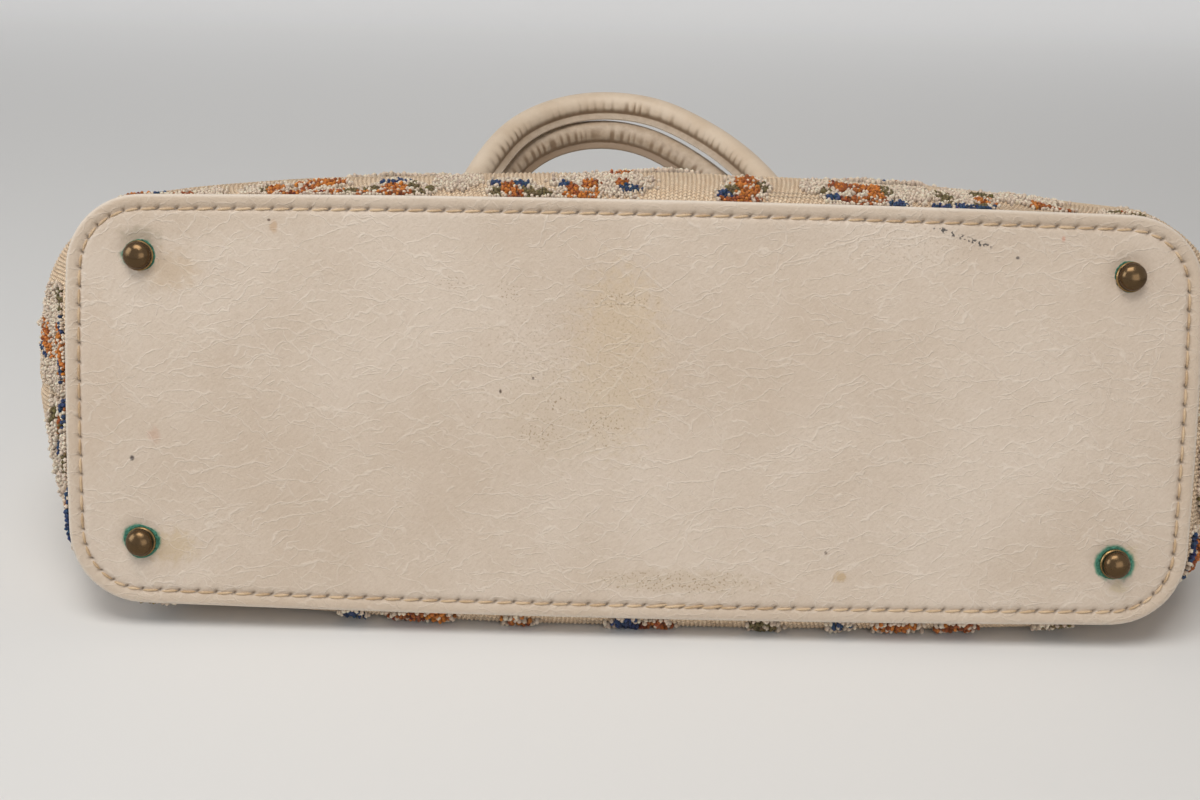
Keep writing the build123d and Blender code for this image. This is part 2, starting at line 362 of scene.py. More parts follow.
def soft_spot_effect():
    """A round mark with a ragged edge, on the base panel's own plane."""
    group, given, out = effect(
        "soft_spot",
        [
            ("Vector", VECTOR, None),
            ("Edge", NUMBER, 0.0),
            ("Middle", VECTOR, (0.0, 0.0, 0.0)),
            ("Shape", VECTOR, (1.0, 1.0, 1.0)),
            ("Radius", NUMBER, 0.005),
            ("Ragged", NUMBER, 0.5),
        ],
        [("Mark", NUMBER)],
    )
    offset = moved(group, "SUBTRACT", given["Vector"], given["Middle"])
    offset = moved(group, "MULTIPLY", offset, given["Shape"])
    far = node(group, "ShaderNodeVectorMath", {0: offset}, operation="LENGTH").outputs["Value"]
    share = sums(group, "DIVIDE", far, given["Radius"])
    ragged = sums(group, "MULTIPLY_ADD", given["Edge"], given["Ragged"], share)
    group.links.new(fade(group, ragged, 1.0, 0.35), out["Mark"])
    return group


def loop_rows_effect():
    """Rows of small wool loops, from a piece's own across-and-up measure."""
    group, given, out = effect(
        "loop_rows",
        [("Weave", VECTOR, None), ("Across", NUMBER, 0.0015), ("Up", NUMBER, 0.0017)],
        [("Height", NUMBER), ("Shade", NUMBER)],
    )
    parts = parts_of(group, given["Weave"])
    across = sums(group, "DIVIDE", parts[0], given["Across"])
    up = sums(group, "DIVIDE", parts[1], given["Up"])
    rib = sums(group, "FLOOR", across)
    shift = sums(group, "MULTIPLY_ADD", rib, 0.5, up)
    uneven = sums(group, "MULTIPLY_ADD", noise(group, given["Weave"], 700.0, 2.0), 0.9, shift)
    round_over = sums(group, "ABSOLUTE", sums(group, "SINE", times(group, uneven, math.pi)))
    groove = sums(group, "ABSOLUTE", sums(group, "SINE", times(group, across, math.pi)))
    height = times(group, round_over, sums(group, "MULTIPLY_ADD", groove, 0.6, 0.4))
    group.links.new(height, out["Height"])
    group.links.new(noise(group, given["Weave"], 260.0, 4.0, 0.65), out["Shade"])
    return group


hide_grain = hide_grain_effect()
crease_lines = crease_lines_effect()
soft_spot = soft_spot_effect()
loop_rows = loop_rows_effect()


def start_finish(name):
    made = bpy.data.materials.new(name)
    made.use_nodes = True
    tree = made.node_tree
    return made, tree, tree.nodes["Principled BSDF"]


def settle(tree, shader, values):
    """Gives the shader's sockets what varies and what is the same all over."""
    for name, value in values.items():
        feed(tree, shader.inputs[name], value)


def own_place(tree):
    return node(tree, "ShaderNodeTexCoord").outputs["Object"]


def stored(tree, name, output="Fac"):
    return node(tree, "ShaderNodeAttribute", attribute_name=name).outputs[output]


def raise_surface(tree, shader, height, distance, strength=1.0, under=None):
    inputs = {"Height": height, "Distance": distance, "Strength": strength}
    if under is not None:
        inputs["Normal"] = under
    bump = node(tree, "ShaderNodeBump", inputs).outputs[0]
    tree.links.new(bump, shader.inputs["Normal"])
    return bump


# Marks on the base panel: middle across and up in millimetres, radius, colour, strength, shape
panel_marks = (
    ((-172.0, 5.0), 44.0, (0.50, 0.375, 0.265, 1), 0.30, (3.0, 1.0, 1.0)),
    ((-130.0, 62.0), 30.0, (0.50, 0.385, 0.275, 1), 0.28, (0.6, 2.2, 1.0)),
    ((-4.0, 18.0), 30.0, (0.58, 0.44, 0.27, 1), 0.26, (1.5, 0.8, 1.0)),
    ((-3.0, 32.0), 14.0, (0.56, 0.42, 0.25, 1), 0.16, (1.0, 0.8, 1.0)),
    ((-18.0, -1.0), 26.0, (0.52, 0.42, 0.30, 1), 0.26, (0.8, 1.2, 1.0)),
    ((18.0, -54.0), 5.0, (0.46, 0.355, 0.23, 1), 0.30, (0.14, 1.0, 1.0)),
    ((68.3, -51.4), 2.6, (0.44, 0.29, 0.13, 1), 0.60, (0.8, 1.0, 1.0)),
    ((-146.0, -46.5), 8.0, (0.49, 0.36, 0.20, 1), 0.50, (0.7, 1.1, 1.0)),
    ((-145.5, 41.5), 8.5, (0.49, 0.355, 0.22, 1), 0.42, (0.7, 1.0, 1.0)),
    ((-154.5, 52.0), 5.0, (0.31, 0.26, 0.18, 1), 0.50, (0.6, 1.2, 1.0)),
    ((160.5, -43.5), 4.0, (0.50, 0.40, 0.24, 1), 0.55, (1.3, 0.7, 1.0)),
    ((157.0, -52.5), 2.6, (0.50, 0.40, 0.24, 1), 0.60, (0.8, 1.0, 1.0)),
    ((-113.0, 56.0), 1.8, (0.47, 0.30, 0.17, 1), 0.60, (1.0, 0.7, 1.0)),
    ((-151.1, -10.7), 2.4, (0.50, 0.31, 0.22, 1), 0.50, (1.0, 0.7, 1.0)),
    ((133.9, 57.5), 1.0, (0.52, 0.19, 0.11, 1), 0.48, (1.2, 0.8, 1.0)),
    ((-41.2, 5.7), 0.75, (0.09, 0.055, 0.035, 1), 0.95, (1.2, 0.8, 1.0)),
    ((-30.9, 10.1), 0.65, (0.10, 0.06, 0.04, 1), 0.90, (1.0, 1.0, 1.0)),
    ((-158.2, -18.2), 1.0, (0.05, 0.035, 0.03, 1), 0.95, (1.0, 0.8, 1.0)),
    ((-114.5, 58.0), 0.6, (0.10, 0.06, 0.04, 1), 0.90, (0.8, 1.0, 1.0)),
    ((63.5, -43.7), 0.65, (0.12, 0.075, 0.045, 1), 0.85, (1.0, 0.8, 1.0)),
    ((120.0, 51.2), 0.7, (0.06, 0.05, 0.045, 1), 0.85, (0.8, 1.0, 1.0)),
)

# Places where dirt fills the pores: middle, radius, strength, shape
dirty_pores = (
    ((-3.5, 35.4), 8.0, 0.85, (0.6, 1.9, 1.0)),
    ((-23.2, 2.1), 3.6, 0.90, (0.8, 1.0, 1.0)),
    ((-28.4, -7.6), 7.0, 0.75, (0.7, 1.0, 1.0)),
    ((-8.8, -5.2), 8.0, 0.80, (0.8, 1.0, 1.0)),
    ((-39.3, 36.2), 5.0, 0.75, (1.0, 0.8, 1.0)),
    ((-56.6, 39.6), 5.0, 0.60, (0.7, 1.3, 1.0)),
    ((16.0, -54.3), 5.2, 0.90, (0.15, 1.0, 1.0)),
    ((-16.0, 14.0), 42.0, 0.40, (0.9, 1.1, 1.0)),
    ((86.0, 55.0), 14.0, 0.40, (0.5, 1.4, 1.0)),
)

# Creases in the base panel: start of the pattern, turn, stretch, size, levels, half width, share, strength
panel_creases = (
    ((0.21, 0.43, 0.0), -0.30, (0.40, 1.0, 1.0), 19.0, 8.0, 0.00048, 0.54, 0.66),
    ((0.77, 0.15, 0.0), 0.14, (0.38, 1.0, 1.0), 22.0, 8.0, 0.00045, 0.52, 0.62),
    ((0.37, 0.91, 0.0), -0.95, (0.42, 1.0, 1.0), 24.0, 7.0, 0.00044, 0.52, 0.62),
    ((0.92, 0.34, 0.0), 0.62, (0.42, 1.0, 1.0), 34.0, 7.0, 0.00042, 0.54, 0.62),
    ((0.59, 0.62, 0.0), -0.12, (0.45, 1.0, 1.0), 56.0, 6.0, 0.00040, 0.64, 0.66),
    ((0.13, 0.27, 0.0), -0.55, (0.45, 1.0, 1.0), 70.0, 6.0, 0.00038, 0.64, 0.66),
    ((0.48, 0.73, 0.0), 0.40, (0.50, 1.0, 1.0), 96.0, 5.0, 0.00036, 0.62, 0.55),
)

# Colours of the base leather, of what lies on it or in it, and of the painted highlights and painted shade laid
# over it
base_colours = {
    "deep": (0.540, 0.435, 0.337, 1),
    "light": (0.615, 0.516, 0.421, 1),
    "dark fibre": (0.40, 0.30, 0.21, 1),
    "pale fibre": (0.72, 0.64, 0.55, 1),
    "pore dirt": (0.27, 0.175, 0.09, 1),
    "crease": (0.80, 0.73, 0.64, 1),
    "black rub": (0.03, 0.028, 0.027, 1),
    "bled green": (0.085, 0.225, 0.145, 1),
    "needle slit shade": (0.10, 0.06, 0.035, 1),
    "border": (0.475, 0.36, 0.25, 1),
    "turned edge highlight": (0.76, 0.69, 0.60, 1),
}
# The black rub: where it starts, its turn, length and half width
rub_start = (92.8, 60.4)
rub_turn = 0.322
rub_length = 20.5
rub_half_width = 1.1
# How far the creases' lines are shaken sideways
crease_shake = 5.2


def marked_spot(tree, flat, edge, middle, radius, shape, ragged):
    """One soft spot of the base panel, placed in millimetres."""
    inputs = {"Vector": flat, "Edge": edge, "Middle": (middle[0] * MM, middle[1] * MM, 0.0), "Shape": shape}
    inputs |= {"Radius": radius * MM, "Ragged": ragged}
    return use(tree, soft_spot, inputs)[0]


def crease_web(tree, flat):
    """All the creases of the base panel together."""
    inputs = {"Vector": flat, "Scale": 190.0, "Detail": 2.0}
    shaken = node(tree, "ShaderNodeTexNoise", inputs).outputs["Color"]
    shaken = moved(tree, "SUBTRACT", shaken, (0.5, 0.5, 0.5))
    shaken = moved(tree, "MULTIPLY", shaken, (crease_shake * MM, crease_shake * MM, 0.0))
    jagged = moved(tree, "ADD", flat, shaken)
    web = None
    for start, turn, stretch, size, levels, half_width, share, strength in panel_creases:
        inputs = {"Vector": jagged, "Start": start, "Turn": turn, "Stretch": stretch, "Size": size}
        inputs |= {"Levels": levels, "Half Width": half_width, "Share": share}
        crease = times(tree, use(tree, crease_lines, inputs)[0], strength)
        web = crease if web is None else sums(tree, "MAXIMUM", web, crease)
    return web


def black_rub(tree, flat):
    """A dotted rub near the upper right."""
    begun = moved(tree, "SUBTRACT", flat, (rub_start[0] * MM, rub_start[1] * MM, 0.0))
    run = parts_of(tree, turned_by(tree, begun, rub_turn))
    begins = fade(tree, run[0], 0.0, 1.0 * MM)
    ends = fade(tree, run[0], rub_length * MM, (rub_length - 1.7) * MM)
    band = fade(tree, sums(tree, "ABSOLUTE", run[1]), rub_half_width * MM, (rub_half_width - 0.7) * MM)
    dots = fade(tree, noise(tree, flat, 950.0, 1.0), 0.51, 0.57)
    return times(tree, times(tree, times(tree, begins, ends), band), dots)


def base_hide_finish():
    """Cream glazed leather, creased and stained, with verdigris bled from the feet, painted highlights on its
    creases and outer edge, and painted shade in its needle slits.
    """
    made, tree, shader = start_finish("base_hide")
    flat = stored(tree, "panel", "Vector")
    grain = use(tree, hide_grain, {"Vector": flat, "Pebble": 1500.0, "Mottle Size": 13.0})
    edge = sums(tree, "SUBTRACT", noise(tree, flat, 420.0, 3.0), 0.5)
    brushed = moved(tree, "MULTIPLY", turned_by(tree, flat, -0.75), (0.40, 1.0, 1.0))
    fibre = noise(tree, brushed, 1200.0, 2.0, 0.6)
    web = crease_web(tree, flat)

    tone = tint(tree, fade(tree, grain["Mottle"], 0.32, 0.70), base_colours["deep"], base_colours["light"])
    tone = tint(tree, fade(tree, fibre, 0.52, 0.32, 0.0, 0.15), tone, base_colours["dark fibre"])
    tone = tint(tree, fade(tree, fibre, 0.5, 0.7, 0.0, 0.12), tone, base_colours["pale fibre"])
    for middle, radius, colour, strength, shape in panel_marks:
        ragged = 1.4 if radius > 2 else 0.7
        spot = marked_spot(tree, flat, edge, middle, radius, shape, ragged)
        tone = stain(tree, tone, colour, spot, strength)
    pores = fade(tree, noise(tree, flat, 1250.0, 1.0, 0.5), 0.575, 0.66)
    dirt = None
    for middle, radius, strength, shape in dirty_pores:
        spot = times(tree, marked_spot(tree, flat, edge, middle, radius, shape, 1.6), strength)
        dirt = spot if dirt is None else sums(tree, "MAXIMUM", dirt, spot)
    tone = stain(tree, tone, base_colours["pore dirt"], times(tree, pores, dirt), 0.75)
    # Painted highlight: the creases are lightened where their raised ridges catch the light
    tone = stain(tree, tone, base_colours["crease"], web, 0.36)
    tone = stain(tree, tone, base_colours["black rub"], black_rub(tree, flat), 0.92)
    bleed = sums(tree, "MULTIPLY_ADD", edge, 0.55, stored(tree, "verdigris"))
    tone = tint(tree, fade(tree, bleed, 0.22, 0.62), tone, base_colours["bled green"])
    # Painted shade in the needle slits and, fainter, in the puckers beside them
    tone = stain(tree, tone, base_colours["needle slit shade"], stored(tree, "needle"), 0.66)
    tone = stain(tree, tone, base_colours["border"], stored(tree, "border"), 0.34)
    # Painted highlight along the rolled outer edge
    tone = stain(tree, tone, base_colours["turned edge highlight"], stored(tree, "turned_edge_highlight"), 0.55)

    rough = fade(tree, grain["Mottle"], 0.25, 0.75, 0.44, 0.58)
    settle(tree, shader, {
        "Base Color": tone,
        "Roughness": sums(tree, "MULTIPLY_ADD", web, -0.06, rough),
        "Specular IOR Level": 0.40,
        "Coat Weight": 0.05,
        "Coat Roughness": 0.35,
    })
    fine = sums(tree, "MULTIPLY_ADD", fibre, 0.8, times(tree, grain["Height"], 0.8))
    small = raise_surface(tree, shader, fine, 0.00018, 0.6)
    raise_surface(tree, shader, web, 0.00016, 0.9, small)
    return made


def trim_hide_finish():
    """The same cream leather on handles, tabs and binding, with painted shade in the handles' gathers, under their
    rolls and on their fins, and a painted highlight along each fin's edge.
    """
    deep, light = (0.590, 0.460, 0.330, 1), (0.690, 0.568, 0.435, 1)
    gather_shade_colour, welt_highlight_cream = (0.185, 0.11, 0.055, 1), (0.70, 0.60, 0.48, 1)
    made, tree, shader = start_finish("trim_hide")
    where = own_place(tree)
    grain = use(tree, hide_grain, {"Vector": where, "Pebble": 1500.0, "Mottle Size": 38.0})
    tone = tint(tree, fade(tree, grain["Mottle"], 0.3, 0.72), deep, light)
    streak = noise(tree, where, 300.0, 3.0)
    # Painted shade stored on the handles, broken up by the streaks
    fold_shade = fade(tree, sums(tree, "MULTIPLY_ADD", streak, 0.35, stored(tree, "fold_shade")), 0.22, 1.0)
    tone = stain(tree, tone, gather_shade_colour, fold_shade, 0.85)
    # Painted highlight along the edge of each handle's fin
    tone = stain(tree, tone, welt_highlight_cream, stored(tree, "welt_highlight"), 0.75)
    rough = fade(tree, grain["Mottle"], 0.25, 0.75, 0.40, 0.55)
    settle(tree, shader, {"Base Color": tone, "Roughness": rough, "Specular IOR Level": 0.42})
    raise_surface(tree, shader, grain["Height"], 0.00012, 0.5)
    return made


def thread_finish():
    """Waxed tan sewing thread."""
    deep, light, worn = (0.44, 0.295, 0.165, 1), (0.58, 0.425, 0.265, 1), (0.68, 0.54, 0.38, 1)
    made, tree, shader = start_finish("waxed_thread")
    where = own_place(tree)
    ply = noise(tree, where, 1800.0, 2.0)
    tone = tint(tree, fade(tree, noise(tree, where, 120.0), 0.35, 0.65), deep, light)
    tone = stain(tree, tone, worn, fade(tree, ply, 0.5, 0.7), 0.4)
    settle(tree, shader, {"Base Color": tone, "Roughness": 0.6})
    raise_surface(tree, shader, ply, 0.0002, 0.8)
    return made


def brass_finish():
    """Antique brass: brown, turning gold in cloudy patches and round each stud's collar."""
    brown, gold, pit = (0.108, 0.068, 0.034, 1), (0.52, 0.35, 0.14, 1), (0.05, 0.035, 0.022, 1)
    made, tree, shader = start_finish("antique_brass")
    where = own_place(tree)
    cloud = noise(tree, where, 420.0, 5.0, 0.65)
    gold_share = fade(tree, sums(tree, "MULTIPLY_ADD", cloud, 0.5, stored(tree, "gold_share")), 0.3, 1.05)
    tone = tint(tree, gold_share, brown, gold)
    tone = tint(tree, fade(tree, noise(tree, where, 900.0, 3.0), 0.66, 0.8), tone, pit)
    rough = fade(tree, cloud, 0.3, 0.7, 0.16, 0.30)
    settle(tree, shader, {"Base Color": tone, "Metallic": 1.0, "Roughness": rough})
    raise_surface(tree, shader, noise(tree, where, 1300.0, 3.0), 0.00006, 0.5)
    return made


def crust_finish():
    """Powdery green verdigris."""
    deep, light = (0.018, 0.085, 0.055, 1), (0.065, 0.235, 0.16, 1)
    made, tree, shader = start_finish("verdigris_crust")
    cloud = noise(tree, own_place(tree), 1100.0, 4.0, 0.7)
    tone = tint(tree, fade(tree, cloud, 0.35, 0.65), deep, light)
    settle(tree, shader, {"Base Color": tone, "Roughness": 0.9})
    raise_surface(tree, shader, cloud, 0.0004, 1.0)
    return made


dull_wool = {"Roughness": 0.95, "Specular IOR Level": 0.2}


def ground_finish():
    """Ecru wool ground in ribbed loops, with painted shade in the hollows between them."""
    deep, light = (0.86, 0.64, 0.432, 1), (0.95, 0.765, 0.558, 1)
    hollow_shade, dark_line_brown = (0.36, 0.23, 0.125, 1), (0.16, 0.10, 0.06, 1)
    soil_brown = (0.55, 0.41, 0.27, 1)
    loop_pitch, dark_line_levels, dark_line_half_width = 1.6, (5.0, 7.6), 0.38
    made, tree, shader = start_finish("ecru_loops")
    weave = stored(tree, "weave", "Vector")
    loops = use(tree, loop_rows, {"Weave": weave, "Across": rib_pitch * MM, "Up": loop_pitch * MM})
    tone = tint(tree, fade(tree, loops["Shade"], 0.3, 0.7), deep, light)
    # Painted shade: darker in the hollows between the loops
    tone = stain(tree, tone, hollow_shade, fade(tree, loops["Height"], 0.5, 0.0), 0.85)
    # Two broken dark lines run just above the base
    up = parts_of(tree, weave)[1]
    broken = times(tree, fade(tree, noise(tree, weave, 55.0, 2.0), 0.44, 0.54), 0.7)
    for level in dark_line_levels:
        aside = sums(tree, "ABSOLUTE", sums(tree, "SUBTRACT", up, level * MM))
        tone = stain(tree, tone, dark_line_brown, fade(tree, aside, dark_line_half_width * MM, 0.1 * MM), broken)
    tone = stain(tree, tone, soil_brown, fade(tree, noise(tree, weave, 14.0, 4.0), 0.45, 0.75), 0.2)
    settle(tree, shader, {"Base Color": tone, "Sheen Weight": 0.05} | dull_wool)
    small = raise_surface(tree, shader, noise(tree, weave, 2600.0, 2.0), 0.0003, 0.6)
    raise_surface(tree, shader, loops["Height"], 0.0009, 0.9, small)
    return made


def pile_finish():
    """Raised wool pile, each tuft in its own yarn colour, which carries painted shade at its foot and a painted
    highlight at its tip.
    """
    shadow, fuzz = (0.0, 0.0, 0.0, 1), (0.88, 0.76, 0.60, 1)
    made, tree, shader = start_finish("wool_pile")
    yarn = stored(tree, "yarn", "Color")
    fibre = noise(tree, own_place(tree), 2300.0, 3.0, 0.7)
    tone = tint(tree, fade(tree, fibre, 0.6, 0.32, 0.0, 0.22), yarn, shadow, "MULTIPLY")
    tone = tint(tree, fade(tree, fibre, 0.5, 0.75, 0.0, 0.12), tone, fuzz)
    settle(tree, shader, {"Base Color": tone, "Sheen Weight": 0.06} | dull_wool)
    raise_surface(tree, shader, fibre, 0.0007, 0.9)
    return made


def lining_finish():
    """Plain tan cotton lining."""
    deep, light, raised = (0.32, 0.235, 0.15, 1), (0.40, 0.30, 0.20, 1), (0.52, 0.42, 0.30, 1)
    made, tree, shader = start_finish("cotton_lining")
    where = own_place(tree)
    threads = {"Vector": where, "Scale": 420.0, "Distortion": 1.0}
    warp = node(tree, "ShaderNodeTexWave", threads, bands_direction="X").outputs["Fac"]
    weft = node(tree, "ShaderNodeTexWave", threads, bands_direction="Y").outputs["Fac"]
    weave = times(tree, warp, weft)
    tone = tint(tree, fade(tree, noise(tree, where, 30.0), 0.3, 0.7), deep, light)
    settle(tree, shader, {"Base Color": stain(tree, tone, raised, weave, 0.35), "Roughness": 0.9})
    raise_surface(tree, shader, weave, 0.0002, 0.7)
    return made


def board_finish():
    """Grey-brown pasteboard."""
    deep, light = (0.20, 0.15, 0.10, 1), (0.33, 0.26, 0.18, 1)
    made, tree, shader = start_finish("pasteboard")
    flecks = noise(tree, own_place(tree), 600.0, 5.0, 0.7)
    tone = tint(tree, fade(tree, flecks, 0.35, 0.7), deep, light)
    settle(tree, shader, {"Base Color": tone, "Roughness": 0.9})
    raise_surface(tree, shader, flecks, 0.0002, 0.5)
    return made


def cord_finish():
    """Twisted cotton cord inside the handles."""
    deep, light = (0.40, 0.33, 0.24, 1), (0.62, 0.54, 0.42, 1)
    made, tree, shader = start_finish("cotton_cord")
    strands = {"Vector": own_place(tree), "Scale": 120.0, "Distortion": 0.5}
    twist = node(tree, "ShaderNodeTexWave", strands, bands_direction="DIAGONAL").outputs["Fac"]
    settle(tree, shader, {"Base Color": tint(tree, twist, deep, light), "Roughness": 0.95})
    raise_surface(tree, shader, twist, 0.0006, 0.8)
    return made


base_hide = base_hide_finish()
trim_hide = trim_hide_finish()
waxed_thread = thread_finish()
antique_brass = brass_finish()
verdigris_crust = crust_finish()
ecru_loops = ground_finish()
wool_pile = pile_finish()
cotton_lining = lining_finish()
pasteboard = board_finish()
cotton_cord = cord_finish()


# Sewing

def stitches(starts, ends, lifts, radius, crown):
    """Lens-shaped thread stitches from hole to hole: their points and faces."""
    stations, sides = 7, 6
    share = np.linspace(0, 1, stations)
    swell = np.sin(np.pi * share)
    run = ends - starts
    across = unit(np.cross(lifts, run))
    middle = starts[:, None] + run[:, None] * share[:, None]
    middle = middle + lifts[:, None] * (crown * swell - 0.55 * radius)[:, None]
    girth = radius * (0.35 + 0.65 * np.sqrt(np.maximum(swell, 0)))
    turn = np.linspace(0, FULL_TURN, sides, endpoint=False)
    ring = lifts[:, None, :] * np.cos(turn)[:, None] + across[:, None, :] * np.sin(turn)[:, None]
    points = middle[:, :, None, :] + ring[:, None] * girth[:, None, None]
    one = grid_faces(stations, sides, True)
    faces = one[None] + (np.arange(len(starts)) * stations * sides)[:, None, None]
    return points.reshape(-1, 3), faces.reshape(-1, 4)[:, ::-1]


# Base panel

def half_outline(tree, h, side, d0, fan=48, straight=100):
    """Where lines from outside meet a solid at height h, round its front (1) or back (-1), left to right."""
    outside, line_length = 500.0, 400.0
    straight_share = 0.62
    reach = unplace(first_met(tree, place(outside, d0, h), -along))[0]
    half = reach * straight_share
    turns = np.linspace(math.pi, math.pi / 2, fan)
    feet = [(-half, a) for a in turns]
    feet += [(x, math.pi / 2) for x in np.linspace(-half, half, straight)[1:-1]]
    feet += [(half, math.pi - a) for a in turns[::-1]]
    line = []
    for x, angle in feet:
        way = math.cos(angle) * along + side * math.sin(angle) * facing
        hit = first_met(tree, place(x, d0, h) + way * line_length, -way)
        if hit is not None:
            line.append(unplace(hit)[:2])
    return np.array(line)


foot_middles = {}
for corner_name in ("front_left", "front_right", "back_left", "back_right"):
    foot_low, foot_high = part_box(f"foot_{corner_name}")
    foot_middles[corner_name] = unplace(np.array((foot_low + foot_high) / 2) / MM)[:2]

# How strongly verdigris has bled from each foot, and towards which sides (degrees from +x, weight)
verdigris_lean = {
    "front_left": (0.55, ((180, 0.8), (60, 0.6), (330, 0.5))),
    "front_right": (0.40, ((140, 1.0), (250, 0.3))),
    "back_left": (0.90, ((140, 1.0), (5, 0.8), (250, 0.4))),
    "back_right": (1.10, ((190, 1.0), (350, 1.0), (95, 0.6))),
}
verdigris_least = 0.18
verdigris_spread = 0.8


def verdigris_reach(corner_name, angle):
    """How far the green goes round one foot, as a share of its most."""
    strength, leans = verdigris_lean[corner_name]
    total = np.full_like(angle, verdigris_least)
    for toward, weight in leans:
        gap = np.abs((angle - math.radians(toward) + math.pi) % FULL_TURN - math.pi)
        total = total + weight * bell(gap, verdigris_spread)
    return strength * np.clip(total, 0, 1)


edge_level = -0.7
panel_tree = solid_tree("base_panel")
front_edge = half_outline(panel_tree, edge_level, 1, 0.0)
back_edge = half_outline(panel_tree, edge_level, -1, 0.0)
loop_count = stitch_count * steps_per_stitch
edge_loop = np.concatenate([front_edge[::-1], back_edge[1:]])
edge_loop = evenly(edge_loop, loop_count + 1)[:-1]
edge_run = np.roll(edge_loop, -3, 0) - np.roll(edge_loop, 3, 0)
edge_inward = unit(np.stack([-edge_run[:, 1], edge_run[:, 0]], 1))

# Across the border: distance from the edge and height, from the underside round the turned edge
border_profile = (
    (3.0, 0.0), (0.5, 0.0), (0.08, -0.25), (0.0, -0.7), (0.0, -1.15), (0.1, -1.6), (0.35, -1.98),
    (0.75, -2.22), (1.3, -2.36), (2.0, -2.4), (2.7, -2.36), (3.3, -2.24), (3.75, -2.05), (4.1, -1.87),
    (4.5, -1.8), (4.9, -1.87), (5.25, -2.05), (5.7, -2.22), (6.3, -2.32), (7.0, -2.33), (border_width, -2.3),
)
border_level = -2.3
face_drop = 0.1
face_rows = 46
face_reach = 56.0
face_core_half_length = 112.0

# Needle slits, cut aslant, and the leather's pucker at each
slit_turn = 0.75
slit_half_length = 0.85
slit_half_width = 0.4
slit_depth = 0.8
pucker_along = 1.2
pucker_across = 1.5
pucker_depth = 0.22
# How much painted shade lies in each pucker
pucker_shade = 0.12

# Unevenness of the panel's face: height and wave of its long and short swells, dent and bulge round a foot
long_swell, long_wave = 0.20, 47
short_swell, short_wave = 0.10, 17
dent_depth, dent_radius, dent_width = 0.55, 4.4, 2.2
bulge_height, bulge_radius, bulge_width = 0.16, 9.5, 2.6


def panel_height(x, d, inset):
    """Rise and fall of the panel's face away from its seam, with a dent and a bulge round each foot."""
    free = ease(inset, 5.0, 16.0)
    lie = long_swell * free * ripple(x + 900, d + 500, long_wave, 3)
    lie = lie + short_swell * free * ripple(x + 300, d + 800, short_wave, 4)
    for fx, fd in foot_middles.values():
        far = np.hypot(x - fx, d - fd)
        lie = lie + dent_depth * bell(far - dent_radius, dent_width)
        lie = lie - bulge_height * bell(far - bulge_radius, bulge_width)
    return lie


def sewn_border():
    """Rows from under the edge in past the seam: place, height, shares of painted shade at the needle slits,
    painted highlight on the rolled edge, and border.
    """
    phase = np.arange(loop_count) % steps_per_stitch / steps_per_stitch
    pitch = np.linalg.norm(np.roll(edge_loop, -1, 0) - edge_loop, axis=1).mean() * steps_per_stitch
    from_hole = ((phase + 0.5) % 1 - 0.5) * pitch
    slit_cos, slit_sin = math.cos(slit_turn), math.sin(slit_turn)
    pull = np.repeat(np.random.default_rng(11).uniform(0.6, 1.25, stitch_count), steps_per_stitch)
    rows = []
    for inset, h in border_profile:
        flat = edge_loop + edge_inward * inset
        from_seam = inset - seam_inset
        slit_run = from_hole * slit_cos + from_seam * slit_sin
        slit_off = from_seam * slit_cos - from_hole * slit_sin
        hole = bell(slit_run, slit_half_length) * bell(slit_off, slit_half_width)
        pucker = bell(from_hole, pucker_along) * bell(from_seam, pucker_across)
        level = h + slit_depth * hole + pucker_depth * pull * pucker
        if h < -1.5:
            level = level + panel_height(flat[:, 0], flat[:, 1], inset)
        # Painted shade in each needle slit and, fainter, in its pucker
        needle = np.clip(hole + pucker_shade * pucker, 0, 1)
        # Painted highlight along the rolled outer edge
        turned = np.full(loop_count, bell(inset - 0.3, 0.5) if h < 0 else 0.0)
        border = np.full(loop_count, 1 - ease(inset, 3.6, 5.2))
        rows.append(np.column_stack([flat, level, needle, turned, border]))
    return rows


def panel_face(rim):
    """Rows from the border in to the middle line of the panel."""
    count = len(rim)
    core = np.stack([np.clip(rim[:, 0], -face_core_half_length, face_core_half_length), np.zeros(count)], 1)
    rows = []
    for share in np.linspace(1, 0, face_rows + 2)[1:-1]:
        flat = core + (rim - core) * share
        inset = border_width + (1 - share) * face_reach
        level = np.full(count, border_level) + face_drop * ease(inset, 8, 14)
        level = level + panel_height(flat[:, 0], flat[:, 1], inset)
        rows.append(np.column_stack([flat, level, np.zeros((count, 3))]))
    return rows


def panel_faces(border_rows, inner_count):
    """Faces of the border, of the step down to a third of its points, and of the face to its middle line."""
    quads = [grid_faces(border_rows, loop_count, True)]
    outer_start = (border_rows - 1) * loop_count
    inner_start = border_rows * loop_count
    j = np.arange(inner_count)
    k = (j + 1) % inner_count
    o = [outer_start + (3 * j + step) % loop_count for step in range(4)]
    triangles = [np.stack([o[0], o[1], inner_start + j], 1), np.stack([o[2], o[3], inner_start + k], 1)]
    quads.append(np.stack([o[1], o[2], inner_start + k, inner_start + j], 1))
    quads.append(grid_faces(face_rows, inner_count, True) + inner_start)
    last = inner_start + (face_rows - 1) * inner_count
    half = inner_count // 2
    i = np.arange(1, half - 1)
    quads.append(np.stack([last + i, last + i + 1, last + inner_count - i - 1, last + inner_count - i], 1))
    ends = [(last, last + 1, last + inner_count - 1), (last + half - 1, last + half, last + half + 1)]
    triangles.append(np.array(ends))
    return [np.concatenate(quads), np.concatenate(triangles)]


